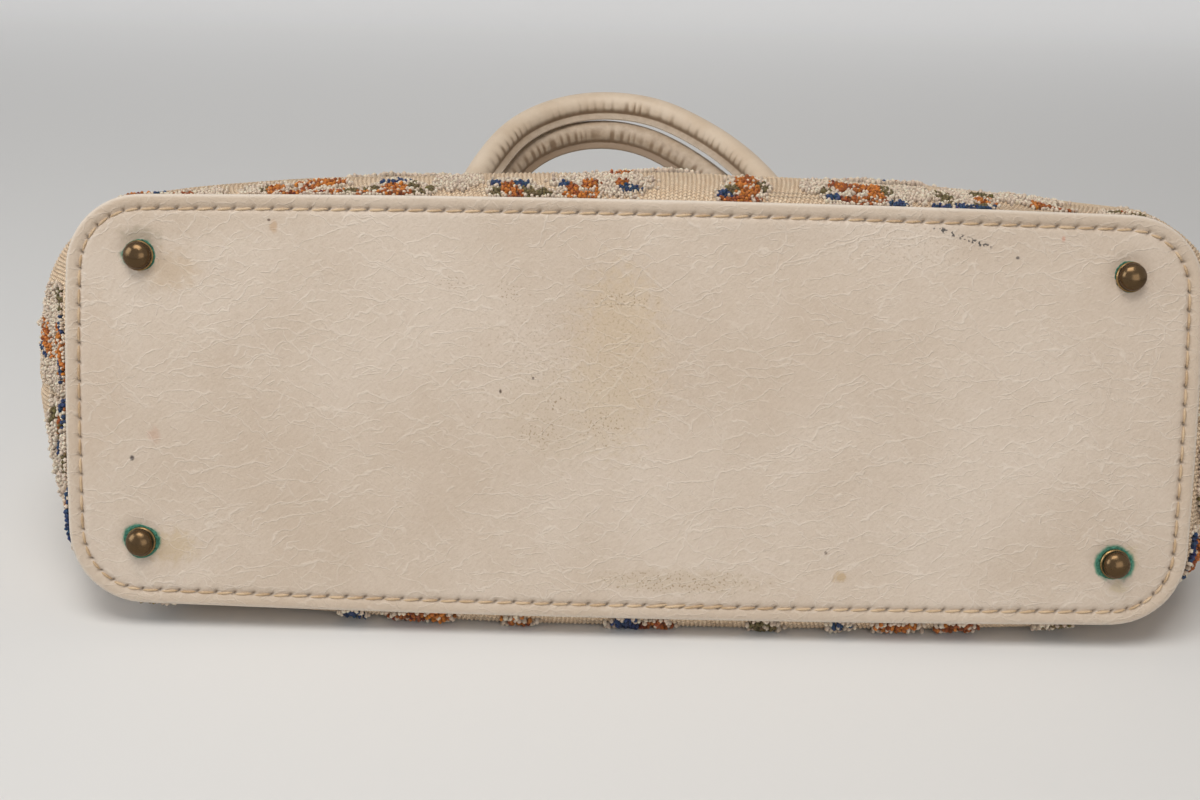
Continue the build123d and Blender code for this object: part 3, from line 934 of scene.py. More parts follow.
def make_base_leather():
    rows = sewn_border()
    rim = rows[-1][::3, :2]
    rows += panel_face(rim)
    grid = np.concatenate(rows)
    local = grid[:, :3]
    faces = panel_faces(len(border_profile), len(rim))
    points = place(local[:, 0], local[:, 1], local[:, 2])
    piece = make_piece("base_leather", points, faces, base_hide)
    border_flat_row = 9
    face_toward(piece, border_flat_row * loop_count, -rise)
    green = np.zeros(len(local))
    for corner_name, (fx, fd) in foot_middles.items():
        dx, dd = local[:, 0] - fx, local[:, 1] - fd
        past_foot = np.maximum(np.hypot(dx, dd) - 4.6, 0)
        green = np.maximum(green, verdigris_reach(corner_name, np.arctan2(dd, dx)) * bell(past_foot, 1.9))
    mark(piece, "panel", local * (MM, MM, 0.0), "FLOAT_VECTOR")
    for name, values in zip(("needle", "turned_edge_highlight", "border"), grid[:, 3:].T):
        mark(piece, name, values)
    mark(piece, "verdigris", green)
    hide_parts("base_panel")


make_base_leather()

# Topstitching: how low each stitch lies, and where the seam's ends run over each other
stitch_level = -1.95
stitch_crown = 0.32
stitch_sag = 0.22
overlap_from, overlap_to = 2, 24
overlap_below = -55
overlap_start, overlap_end = 2.6, 7.4


def make_base_stitching():
    """Topstitching round the base, with the seam's ends run over each other low in the middle."""
    rng = np.random.default_rng(23)
    holes = (edge_loop + edge_inward * seam_inset)[::steps_per_stitch]
    inward = edge_inward[::steps_per_stitch]
    run = unit(np.roll(holes, -1, 0) - holes)
    starts = holes + run * rng.uniform(0.35, 0.7, (stitch_count, 1))
    ends = np.roll(holes, -1, 0) - run * rng.uniform(0.35, 0.7, (stitch_count, 1))
    # Every stitch lies a little low in its slits and rises towards the right
    slant = run[:, 0] * rng.normal(0.2, 0.06, stitch_count)
    starts[:, 1] -= stitch_sag + slant
    ends[:, 1] += slant - stitch_sag
    low_middle = (holes[:, 1] < overlap_below) & (overlap_from < holes[:, 0]) & (holes[:, 0] < overlap_to)
    over, over_run, over_in = holes[low_middle], run[low_middle], inward[low_middle]
    starts = np.concatenate([starts, over + over_run * overlap_start - over_in * 0.2])
    ends = np.concatenate([ends, over + over_run * overlap_end + over_in * 0.45])
    lift = np.broadcast_to(-rise, (len(starts), 3))
    a = place(starts[:, 0], starts[:, 1], stitch_level)
    b = place(ends[:, 0], ends[:, 1], stitch_level)
    points, faces = stitches(a, b, lift, thread_radius, stitch_crown)
    make_piece("base_stitching", points, faces, waxed_thread)


make_base_stitching()

# Stud feet: radius and height from the shank over the collar to the neck, and the dome on it
stud_profile = (
    (1.5, 0.0), (1.5, -1.9), (4.4, -1.9), (4.72, -2.05), (4.78, -2.35), (4.7, -2.7), (4.45, -2.86),
    (4.3, -3.0), (4.27, -3.4),
)
stud_middle = -3.0
stud_sides = 64
dome_radius = 4.28
dome_height = 2.8
dome_level = -3.95
collar_radius = 4.7


def make_feet():
    dome = [
        (dome_radius * math.sin(a), dome_level - dome_height * math.cos(a))
        for a in np.linspace(math.pi / 2, 0.02, 14)
    ]
    radius, height = np.array(stud_profile + tuple(dome)).T
    turn = np.linspace(0, FULL_TURN, stud_sides, endpoint=False)
    x, d = radius[:, None] * np.cos(turn), radius[:, None] * np.sin(turn)
    # Gold round the collar of each stud
    gold_share = np.repeat(0.55 * bell(radius - collar_radius, 0.2), stud_sides)
    for corner_name, (fx, fd) in foot_middles.items():
        points = place(fx + x, fd + d, height[:, None]).reshape(-1, 3)
        faces = outward(points, grid_faces(len(radius), stud_sides, True), place(fx, fd, stud_middle))
        piece = make_piece(f"stud_{corner_name}", points, faces, antique_brass)
        mark(piece, "gold_share", gold_share)
        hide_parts(f"foot_{corner_name}")


make_feet()

crust_sides = 90
crust_floor = -1.7
crust_edge = 4.75


def make_verdigris():
    """A low lumpy crust where each foot meets the leather."""
    rng = np.random.default_rng(31)
    points, faces, start = [], [], 0
    turn = np.linspace(0, FULL_TURN, crust_sides, endpoint=False)
    for corner_name, (fx, fd) in foot_middles.items():
        reach = verdigris_reach(corner_name, turn)
        lump = ripple(turn * 9, np.full(crust_sides, rng.uniform(0, 50)), 1.0, 8)
        width = np.clip(reach * 1.5 + 0.35 * lump * reach, 0.05, 2.0)
        thick = np.clip(0.35 * reach + 0.15 * lump * reach, 0.0, 0.6)
        rows = [(crust_edge - 0.2, 0.1), (crust_edge - 0.05, 1.0)]
        rows += [(crust_edge + k * width, share) for k, share in ((0.45, 0.8), (0.8, 0.35), (1.0, -0.5))]
        for radius, share in rows:
            x, d = fx + radius * np.cos(turn), fd + radius * np.sin(turn)
            points.append(place(x, d, crust_floor - thick * share))
        faces.append(grid_faces(len(rows), crust_sides, True) + start)
        start += len(rows) * crust_sides
    points, faces = np.concatenate(points), np.concatenate(faces)
    piece = make_piece("verdigris_rings", points, faces, verdigris_crust)
    face_toward(piece, crust_sides, -rise)


make_verdigris()


# Carpet

carpet_tree = solid_tree("carpet_front", "carpet_back")
carpet_levels = np.concatenate([[0.5, 1.5, 3.0, 5.0, 7.5], np.linspace(10.5, 224.4, 36)])

# How far the cloth has sunk in, by its share across from the left seam to the right seam
sunk_shares = (0.0, 0.07, 0.13, 0.18, 0.26, 0.34, 0.42, 0.50, 0.60, 0.70, 0.78, 0.86, 0.93, 1.0)
sunk_depths = {
    "front": (3.5, 5.0, 8.0, 6.0, 3.6, 1.4, -0.4, -1.2, -0.4, 1.0, 3.0, 5.0, 4.0, 3.0),
    "back": (3.5, 7.0, 6.5, 4.0, 0.5, -1.5, -2.5, -2.5, -2.5, -2.0, -0.5, 3.0, 3.0, 3.0),
}
seam_half_width = 2.2
seam_depth = 0.9
floor_gap = 0.35
columns_per_rib = 4


class Skin:
    """One carpet panel's outer surface, by its share across and its height."""

    def __init__(self, face, side):
        lines = [half_outline(carpet_tree, h, side, mouth_rise * h / body_height) for h in carpet_levels]
        self.widths = np.array([np.linalg.norm(np.diff(line, axis=0), axis=1).sum() for line in lines])
        self.columns = int(self.widths.max() / rib_pitch) * columns_per_rib + 1
        flat = np.stack([evenly(line, self.columns) for line in lines])
        levels = np.broadcast_to(carpet_levels[:, None], flat.shape[:2])
        points = place(flat[..., 0], flat[..., 1], levels)
        out = unit(np.cross(np.gradient(points, axis=1), np.gradient(points, axis=0))) * side
        self.out = out * np.sign((out * (points - place(0, 0, body_middle_height))).sum())
        share = np.linspace(-0.5, 0.5, self.columns)
        half_widths = self.widths[:, None] / 2
        self.u = self.widths[:, None] * share
        self.v = levels
        # The cloth lies calm at base, mouth and side seams, and uneven between them
        quiet = ease(levels, 6, 40) * (1 - 0.8 * ease(levels, 150, 205))
        quiet = quiet * ease(half_widths - np.abs(self.u), 0, 30)
        sunk = np.interp(share + 0.5, sunk_shares, sunk_depths[face])
        sunk = sunk * ease(levels, 0, 9) * (1 - ease(levels, 60, 150))
        lumps = 1.1 * ripple(self.u + 700, levels + 300, 58, 41 + side)
        lumps = lumps + 0.55 * ripple(self.u + 100, levels, 23, 47)
        seam = bell(self.u + half_widths, seam_half_width) + bell(self.u - half_widths, seam_half_width)
        points = points + self.out * (quiet * lumps - seam_depth * seam - sunk)[..., None]
        points[..., 2] = np.maximum(points[..., 2], floor_gap)
        self.points = points

    def at(self, share, h):
        """Points, directions and flat measures at shares across (0 to 1) and heights."""
        i = np.clip(share, 0, 1) * (self.columns - 1)
        j = np.interp(h, carpet_levels, np.arange(len(carpet_levels)))
        i0 = np.minimum(i.astype(int), self.columns - 2)
        j0 = np.minimum(j.astype(int), len(carpet_levels) - 2)
        s, t = i - i0, j - j0

        def mixed(grid):
            s_, t_ = (s, t) if grid.ndim == 2 else (s[..., None], t[..., None])
            near = grid[j0, i0] * (1 - s_) + grid[j0, i0 + 1] * s_
            far = grid[j0 + 1, i0] * (1 - s_) + grid[j0 + 1, i0 + 1] * s_
            return near * (1 - t_) + far * t_

        return mixed(self.points), unit(mixed(self.out)), mixed(self.u)


skins = {"front": Skin("front", 1), "back": Skin("back", -1)}

hem_depth = 5.0
hem_drop = 0.3
hem_floor_gap = 0.05


def make_carpet(face):
    """One ribbed carpet panel with its hem turned in under the base."""
    skin = skins[face]
    column = np.arange(skin.columns)
    rib = 0.5 - 0.5 * np.cos(column * FULL_TURN / columns_per_rib)
    points = skin.points + skin.out * (rib_height * (rib - 0.5))[None, :, None]
    tucked = skin.points[0] - skin.out[0] * hem_depth - rise * hem_drop
    points = np.concatenate([tucked[None], points])
    points[..., 2] = np.maximum(points[..., 2], hem_floor_gap)
    flat = points.reshape(-1, 3)
    faces = outward(flat, grid_faces(len(points), skin.columns), place(0, 0, body_middle_height))
    piece = make_piece(f"carpet_{face}_panel", flat, faces, ecru_loops)
    v = np.concatenate([skin.v[:1] - hem_depth, skin.v])
    u = np.broadcast_to(column / columns_per_rib * rib_pitch, v.shape)
    mark(piece, "weave", np.stack([u, v, np.zeros_like(u)], -1) * MM, "FLOAT_VECTOR")
    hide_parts(f"carpet_{face}")
    return piece


carpet_panels = {face: make_carpet(face) for face in skins}

yarns = {
    "white": (0.95, 0.765, 0.60),
    "rust": (0.44, 0.125, 0.035),
    "orange": (0.74, 0.25, 0.05),
    "oxblood": (0.19, 0.045, 0.022),
    "navy": (0.045, 0.078, 0.175),
    "olive": (0.215, 0.165, 0.075),
}
code = {name: k for k, name in enumerate(yarns)}


def seen_from(u, v, middle, turn):
    """Places along and across a turned line through middle."""
    du, dv = u - middle[0], v - middle[1]
    return du * math.cos(turn) + dv * math.sin(turn), -du * math.sin(turn) + dv * math.cos(turn)


def past(middle, reach, angle):
    return middle[0] + reach * math.cos(angle), middle[1] + reach * math.sin(angle)


def sew_flower(codes, u, v, middle, size, petals, turn, rng):
    """A round flower: a white surround, rust petals edged with navy, orange inside, a dark eye."""
    du, dv = u - middle[0], v - middle[1]
    far = np.hypot(du, dv) / size
    wave = np.cos(petals * (np.arctan2(dv, du) + turn))
    ragged = rng.normal(0, 0.05, u.shape)
    petal = 0.78 + 0.22 * wave + ragged
    codes[far < 1.34 + 0.12 * wave + 2 * ragged] = code["white"]
    codes[far < petal] = code["rust"]
    codes[(far > petal - 0.16) & (far < petal + 0.05) & (wave < -0.1)] = code["navy"]
    codes[(far < petal * 0.72) & (wave > -0.35)] = code["orange"]
    codes[far < 0.26 + ragged] = code["oxblood"]


def sew_leaf(codes, u, v, middle, size, turn, colour):
    """A pointed leaf in a white surround."""
    run, off = seen_from(u, v, middle, turn)
    run, off = run / (size * 0.36), off / (size * 0.19)
    leaf = (np.abs(off) < 1 - run * run) & (np.abs(run) < 1)
    surround = (np.abs(off) < (1 - (run / 1.25) ** 2) * 1.9) & (np.abs(run) < 1.25)
    codes[(codes < 0) & surround] = code["white"]
    codes[leaf] = code[colour]


def sew_bud(codes, u, v, middle, size, turn, colour, rng):
    """A round bud on an olive foot, with an eye of another colour."""
    run, off = seen_from(u, v, middle, turn)
    run, off = run / size, off / size
    far = np.hypot(run, off * 1.35) + rng.normal(0, 0.05, u.shape)
    codes[(far < 1.6) & (codes < 0)] = code["white"]
    codes[far < 1.0] = code[colour]
    codes[(far < 1.0) & (run < -0.35)] = code["olive"]
    codes[(far < 0.5) & (run > -0.2)] = code["oxblood" if colour == "orange" else "orange"]


def sew_spray(codes, u, v, middle, size, turn, rng):
    """A flower with leaves and a bud on each of two curling stems."""
    for side, last_leaf, bud in ((-1, "rust", "rust"), (1, "navy", "orange")):
        bend = turn + side * 0.55
        for step, colour in enumerate(("olive", "olive", last_leaf), 1):
            angle = bend + side * 0.13 * step
            spot = past(middle, size * (0.95 + 0.45 * step), angle)
            sew_leaf(codes, u, v, spot, size, angle + side * 0.7, colour)
        sew_bud(codes, u, v, past(middle, size * 2.75, bend), size * 0.36, bend, bud, rng)
    sew_flower(codes, u, v, middle, size, int(rng.integers(5, 7)), rng.uniform(0, 6.28), rng)


def share_at(face, h, x=None, d=None):
    """Where across a panel, at height h, it passes a place along the bag or a depth on its left end."""
    skin = skins[face]
    row = np.argmin(np.abs(carpet_levels - h))
    line = unplace(skin.points[row])
    if x is not None:
        left, right = skin.columns // 6, skin.columns * 5 // 6
        k = left + np.argmin(np.abs(line[left:right, 0] - x))
    else:
        k = np.argmin(np.abs(line[: skin.columns // 4, 1] - d))
    return skin.u[row, k]


# Sprigs low on the panels, where they show past the base: place along, height, half width, half height, yarn
low_sprigs = {
    "front": (
        (-166, 4, 4, 3, "white"), (-138, 12, 4, 6, "white"), (-122, 12, 4, 7, "white"),
        (-57, 14, 6, 7, "white"), (-10, 11, 14, 8, "white"), (59, 15, 4, 6, "white"),
        (89, 14, 6, 8, "white"), (106, 15, 6, 7, "white"), (125, 18, 12, 5, "white"),
        (-152, 8, 9, 5, "orange"), (-159, 4, 5, 3, "rust"), (-146, 10, 4, 5, "rust"),
        (-160, 9, 3, 3, "olive"), (-150, 3, 1.8, 1.8, "navy"), (-119, 12, 1.6, 3, "olive"),
        (-116, 12, 2.2, 7, "orange"), (-109, 3, 4, 2.2, "rust"), (-102, 17, 7.5, 4, "orange"),
        (-105, 11, 1.6, 6, "rust"), (-96, 5, 5, 3, "rust"), (-90, 5, 2.4, 3, "olive"),
        (-84, 7, 2.2, 3, "olive"), (-86, 2.5, 2.4, 1.4, "rust"), (-77, 8, 3.6, 4, "orange"),
        (-76, 3, 6.2, 1.8, "rust"), (-78, 15, 4.2, 2.4, "navy"), (-71, 11, 1.4, 2.4, "olive"),
        (-65, 7, 1.5, 2, "olive"), (-68, 3, 2, 1.5, "olive"), (-44, 10, 1.5, 2.4, "navy"),
        (-40, 8.5, 2.2, 2.4, "rust"), (-36, 9, 2.2, 2.2, "navy"), (-39, 4.5, 3.4, 1.8, "orange"),
        (-37, 2, 3.6, 1.2, "rust"), (-44, 4, 1.5, 2.2, "olive"), (-33, 3.5, 2, 2, "olive"),
        (-29, 3.2, 2.4, 1.2, "olive"), (-22, 8.5, 1.4, 2.4, "navy"), (-20, 6, 1.5, 1.8, "rust"),
        (-14, 8.5, 2.4, 4, "rust"), (-18, 2.5, 5.4, 1.8, "orange"), (-5, 21, 3.6, 3, "rust"),
        (-4, 9.5, 2, 2, "rust"), (-2, 6, 3.6, 1.8, "navy"), (29, 4.5, 1.7, 1.6, "navy"),
        (36, 12, 4.4, 8, "orange"), (37, 19, 1.9, 3, "rust"), (33, 2.2, 6, 1.3, "rust"),
        (31, 9, 1.4, 3, "olive"), (41, 11, 1.4, 3.6, "olive"), (66, 15, 3, 5, "rust"),
        (72, 15.5, 2.5, 5, "rust"), (77, 12, 3.4, 7, "orange"), (71, 3.5, 7.5, 2, "rust"),
        (63, 5, 1.5, 1.8, "navy"), (83, 2.5, 2.6, 1.3, "navy"), (61, 9, 1.4, 3.2, "olive"),
        (81, 13, 1.4, 5, "olive"), (99, 9, 2.3, 6, "olive"), (103, 2, 9, 1.2, "navy"),
        (109, 5, 1.9, 2.4, "olive"), (112, 10, 2.9, 3.4, "orange"), (112, 17, 3.4, 2.6, "olive"),
        (130, 11, 2, 2.8, "orange"), (133, 9, 1.8, 2, "rust"), (136, 5, 2.8, 2, "rust"),
        (154, 9, 3, 3, "olive"), (164, 8, 4.8, 4, "rust"), (169, 6, 3, 4, "olive"),
    ),
    "back": (
        (-152, 5, 6, 3, "olive"), (-88, 5, 3, 3, "navy"), (-70, 5, 6, 3, "rust"),
        (-60, 4, 4, 3, "orange"), (-35, 6, 4, 3, "orange"), (0, 5, 4, 3, "navy"),
        (10, 6, 5, 3, "rust"), (45, 5, 4, 3, "olive"), (70, 4, 3, 2, "navy"),
        (88, 5, 7, 3, "orange"), (108, 5, 6, 3, "rust"), (140, 6, 5, 3, "olive"),
    ),
}
# The same on the left and right ends: depth instead of place along
end_sprigs = {
    "front": (
        (15, 12, 15, 11, "white"), (19, 17, 4, 6, "orange"), (16, 5, 6.8, 4, "orange"),
        (25, 5, 1.5, 2.4, "navy"), (8, 3.5, 1.9, 1.8, "navy"), (13, 19, 1.5, 3, "navy"),
        (30, 9, 2.4, 3, "olive"),
    ),
    "back": (
        (-17, 10, 15, 9, "white"), (-7, 5.5, 1.8, 4.5, "rust"), (-3, 3.5, 1.5, 2, "navy"),
        (-9, 2.4, 1.6, 1.5, "navy"), (-6, 11, 2, 3, "olive"), (-10, 6, 1.5, 2, "olive"),
        (-17, 10, 1.6, 2, "navy"), (-23, 4.5, 2.2, 3, "olive"), (-41, 8, 5.6, 6, "rust"),
        (-38, 1.8, 7.8, 1.3, "navy"),
    ),
}

white_rim = 1.7
patch_growth = 0.4


def sew_patch(codes, u, v, middle, size, yarn, rng):
    """An oval of one yarn with a ragged edge, lying in a white surround."""
    du, dv = u - middle[0], v - middle[1]
    ragged = rng.normal(0, 0.12, u.shape)
    surround = np.hypot(du / (size[0] + white_rim), dv / (size[1] + white_rim)) + ragged
    codes[(surround < 1) & (codes < 0)] = code["white"]
    if yarn != "white":
        inside = np.hypot(du / (size[0] + patch_growth), dv / (size[1] + patch_growth)) + ragged < 1
        codes[inside] = code[yarn]


# Rows of sprays up each panel
spray_rows = (62, 112, 162)
spray_pitch = 92.0
right_end_lift = 4


def floral_codes(face, u, v):
    """Which yarn each tuft takes, or -1 for the bare ground."""
    rng = np.random.default_rng(57 if face == "front" else 83)
    codes = np.full(u.shape, -1)
    half = skins[face].widths.max() / 2
    for row, h in enumerate(spray_rows):
        shift = spray_pitch / 2 * (row % 2)
        for k in range(-3, 4):
            middle = (k * spray_pitch + shift + rng.uniform(-9, 9), h + rng.uniform(-7, 7))
            if abs(middle[0]) > half - 10:
                continue
            sew_spray(codes, u, v, middle, rng.uniform(10.5, 13.5), rng.uniform(0.6, 2.5), rng)
    for x, h, half_x, half_h, yarn in low_sprigs[face]:
        sew_patch(codes, u, v, (share_at(face, h, x=x), h), (half_x, half_h), yarn, rng)
    for d, h, half_d, half_h, yarn in end_sprigs[face]:
        spot = share_at(face, h, d=d)
        sew_patch(codes, u, v, (spot, h), (half_d, half_h), yarn, rng)
        sew_patch(codes, u, v, (-spot, h + right_end_lift), (half_d, half_h), yarn, rng)
    # Here and there a tuft of the next colour
    stray = rng.uniform(0, 1, u.shape)
    was_rust, was_orange = codes == code["rust"], codes == code["orange"]
    codes[was_rust & (stray < 0.2)] = code["orange"]
    codes[was_rust & (stray > 0.88)] = code["oxblood"]
    codes[was_orange & (stray > 0.76)] = code["rust"]
    codes[(codes > code["white"]) & (np.abs(stray - 0.5) < 0.06)] = code["white"]
    return codes


# Tufts: sides, how deep they are rooted, and their painted shade and painted highlight from foot to tip
tuft_sides = 4
tuft_root = 0.5
tuft_stir_share = 0.14
foot_shade, belly_shade, tip_shade = 0.35, 0.92, 1.1
lowest_seat = 1.2
tuft_floor_gap = 0.1


def make_pile(face, name, lowest, highest, pitch):
    """Tufts standing on the ground where the flowers are, between two heights."""
    skin = skins[face]
    rng = np.random.default_rng(71 if face == "front" else 97)
    across = int(skin.widths.max() / pitch)
    heights = np.arange(lowest, highest, pitch)
    share, h = np.meshgrid((np.arange(across) + 0.5) / across, heights)
    share = share + (np.arange(len(heights)) % 2)[:, None] * 0.5 / across
    share, h = share.ravel(), h.ravel()
    seat, out, u = skin.at(share, h)
    codes = floral_codes(face, u, h)
    shown = (codes >= 0) & (seat[:, 2] > lowest_seat)
    seat, out, codes = seat[shown], out[shown], codes[shown]
    count = len(seat)
    first = unit(np.cross(out, rise + 0.01 * along))
    second = np.cross(out, first)
    stir = tuft_stir_share * pitch
    seat = seat + first * rng.normal(0, stir, (count, 1)) + second * rng.normal(0, stir, (count, 1))
    tall = rng.uniform(0.9, 1.7, (count, 1)) * (0.45 + 0.55 * pitch)
    wide = rng.uniform(0.47, 0.60, (count, 1)) * pitch
    lean = first * rng.normal(0, stir, (count, 1)) + second * rng.normal(0, stir, (count, 1))
    turn = rng.uniform(0, 6.28, (count, 1)) + np.arange(tuft_sides) * FULL_TURN / tuft_sides
    ring = first[:, None] * np.cos(turn)[..., None] + second[:, None] * np.sin(turn)[..., None]
    foot = seat[:, None] - out[:, None] * tuft_root + ring * (0.8 * wide)[:, None]
    belly = seat[:, None] + (out * tall * 0.72 + lean * 0.6)[:, None] + ring * wide[:, None]
    tip = (seat + out * tall + lean)[:, None]
    points = np.concatenate([foot, belly, tip], 1)
    points[..., 2] = np.maximum(points[..., 2], tuft_floor_gap)
    quads = grid_faces(2, tuft_sides, True)
    tops = np.column_stack([quads[:, 3], quads[:, 2], np.full(tuft_sides, 2 * tuft_sides)])
    start = (np.arange(count) * (2 * tuft_sides + 1))[:, None, None]
    faces = [(quads + start).reshape(-1, 4), (tops + start).reshape(-1, 3)]
    piece = make_piece(f"carpet_{face}_{name}", points, faces, wool_pile)
    face_toward(piece, count * tuft_sides, out[0])
    colours = np.array(list(yarns.values()))[codes]
    colours = colours * rng.uniform(0.78, 1.16, (count, 1)) + rng.normal(0, 0.008, (count, 3))
    # Painted shade: each tuft is darker down between its neighbours, with a painted highlight at its tip
    shades = np.array([foot_shade] * tuft_sides + [belly_shade] * tuft_sides + [tip_shade])
    colours = np.clip(colours[:, None] * shades[:, None], 0.008, 0.95).reshape(-1, 3)
    mark(piece, "yarn", np.column_stack([colours, np.ones(len(colours))]), "FLOAT_COLOR")
    return piece


low_pile_start = 1.2
low_pile_top = 27.0
high_pile_top = 203.0
low_pile_pitch = {"front": 1.15, "back": 1.5}
high_pile_pitch = 1.85

for face, panel in carpet_panels.items():
    low_pile = make_pile(face, "low_pile", low_pile_start, low_pile_top, low_pile_pitch[face])
    high_pile = make_pile(face, "high_pile", low_pile_top, high_pile_top, high_pile_pitch)


# Lining

lining_floor = 5.4
lining_depth = 3.7
lining_columns = 181
lining_levels = np.concatenate([[lining_floor, 8.0, 12.0], np.linspace(18, 223.5, 40)])
floor_rows = 14
floor_core_share = 0.6


def make_lining(face, seed):
    """Half of the bag's cloth lining, with half of its floor, slack between its seams."""
    share, h = np.meshgrid(np.linspace(0, 1, lining_columns), lining_levels)
    skin_points, out, u = skins[face].at(share, h)
    slack = ease(h, 10, 40) * (1 - ease(h, 170, 200))
    folds = np.maximum(1.1 + 0.7 * ripple(u + 400, h * 0.35, 16, seed), 0)
    wall = skin_points - out * (lining_depth + slack * folds)[..., None]
    local = unplace(wall[0])
    local[:, 2] = lining_floor
    core = local * (floor_core_share, 0.0, 1.0)
    floor = np.array([core + (local - core) * k for k in np.linspace(0, 1, floor_rows)])
    points = np.concatenate([place(floor[..., 0], floor[..., 1], floor[..., 2]), wall[1:]])
    faces = grid_faces(len(points), lining_columns)
    piece = make_piece(f"lining_{face}", points.reshape(-1, 3), faces, cotton_lining)
    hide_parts("lining")
    return piece


for face, seed in (("front", 62), ("back", 60)):
    lining_half = make_lining(face, seed)


# Mouth binding

def mouth_loop(offset, count):
    """The mouth's outline moved out by offset, from the right end round the front, and its outward ways."""
    radius = mouth_corner + offset
    half_x = mouth_half_length - mouth_corner
    half_d = mouth_half_thickness - mouth_corner
    line = []
    for turn in np.linspace(0, FULL_TURN, 400, endpoint=False):
        c, s = math.cos(turn), math.sin(turn)
        line.append((math.copysign(half_x, c) + radius * c, math.copysign(half_d, s) + radius * s))
    line.append(line[0])
    flat = evenly(np.array(line), count + 1)[:-1]
    ahead = np.roll(flat, -1, 0) - np.roll(flat, 1, 0)
    return flat, unit(np.stack([ahead[:, 1], -ahead[:, 0]], 1))


# Section of the binding: distance out from the mouth and height, up the outside, over and down the inside
binding_profile = (
    (0.15, 205.2), (0.7, 205.0), (1.15, 205.4), (1.25, 207.0), (1.2, 209.0), (1.3, 214.0), (1.3, 219.0),
    (1.22, 223.0), (1.05, 224.9), (0.5, 225.9), (-0.6, 226.3), (-2.0, 226.35), (-3.4, 226.3), (-4.5, 225.9),
    (-5.05, 224.9), (-5.2, 223.0), (-5.2, 214.0), (-5.2, 207.0), (-5.1, 205.4), (-4.7, 205.0), (-4.2, 205.2),
    (-4.05, 207.0), (-4.05, 223.0), (-3.0, 224.6), (-1.0, 224.6), (0.05, 223.0), (0.05, 207.0),
)
binding_columns = 720
binding_wave = 0.16
binding_seam_height = 208.2
binding_seam_offset = 1.1
binding_seam_depth = 0.3
binding_stitches = 144


def make_binding():
    """Leather folded over the rim of the mouth, drawn in along its seam."""
    flat, out = mouth_loop(0.0, binding_columns)
    run = np.arange(binding_columns) * np.linalg.norm(flat[1] - flat[0])
    rows = []
    for offset, h in binding_profile:
        away = np.full(binding_columns, offset)
        if offset > 0.1:
            away += binding_wave * ripple(run, np.full(binding_columns, h), 26, 71)
        if offset > binding_seam_offset:
            away -= binding_seam_depth * bell(h - binding_seam_height, 0.7)
        edge = flat + out * away[:, None]
        rows.append(place(edge[:, 0], edge[:, 1] + mouth_rise, h))
    rows.append(rows[0])
    points = np.stack(rows)
    faces = grid_faces(len(rows), binding_columns, True)
    piece = make_piece("mouth_binding_leather", points, faces, trim_hide)
    outer_row, front_column = 5, binding_columns // 4
    outside = points[outer_row, front_column]
    inside = place(outside @ along, mouth_rise, binding_profile[outer_row][1])
    face_toward(piece, outer_row * binding_columns + front_column, outside - inside)
    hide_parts("mouth_binding")

    seam, seam_out = mouth_loop(binding_seam_offset, binding_stitches)
    step = np.roll(seam, -1, 0) - seam
    starts, ends = seam + 0.1 * step, seam + 0.9 * step
    lift = seam_out[:, :1] * along + seam_out[:, 1:] * facing
    a = place(starts[:, 0], starts[:, 1] + mouth_rise, binding_seam_height - 0.2)
    b = place(ends[:, 0], ends[:, 1] + mouth_rise, binding_seam_height + 0.2)
    points, faces = stitches(a, b, lift, 0.38, 0.3)
    make_piece("binding_stitching", points, faces, waxed_thread)


make_binding()


# Straps, handles and their fittings

def strap(path, side, width, ply):
    """A flat strap with rounded edges along a path, its width along side: points, faces and end caps."""
    run = unit(np.gradient(path, axis=0))
    lift = unit(np.cross(run, side))
    half, edge = width / 2, ply / 2
    section = []
    for way in (1, -1):
        for a in np.linspace(-math.pi / 2, math.pi / 2, 6):
            section.append((way * (half - edge + edge * math.cos(a)), way * edge * math.sin(a)))
    section = np.array(section)
    points = path[:, None] + section[:, :1] * np.asarray(side) + section[:, 1:] * lift[:, None]
    columns = len(section)
    faces = grid_faces(len(path), columns, True)
    first = np.stack([np.zeros(columns - 2, int), np.arange(1, columns - 1), np.arange(2, columns)], 1)
    last = first[:, ::-1] + (len(path) - 1) * columns
    return points.reshape(-1, 3), faces[:, ::-1], np.concatenate([first, last])


def folded_path(middle, up, out, leg, gap):
    """Up one side, round a ring and down the other, in the plane of up and out."""
    turn = np.linspace(-0.72 * math.pi, 0.72 * math.pi, 25)
    round_ring = [(loop_middle_radius * math.sin(a), loop_middle_radius * math.cos(a)) for a in turn]
    foot = [(-gap, -leg * share) for share in (1.0, 0.75, 0.5, 0.32)]
    flat = evenly(np.array(foot + round_ring + [(-x, y) for x, y in foot[::-1]]), 60)
    return middle + flat[:, :1] * out + flat[:, 1:] * up


# Stitching of the tabs
tab_gap = 0.6
tab_seam_inset = 1.4
tab_stitch_pitch = 3.0
tab_stitch_length = 2.3
tab_thread_radius = 0.34
tab_thread_crown = 0.26
tab_face_offset = 1.22


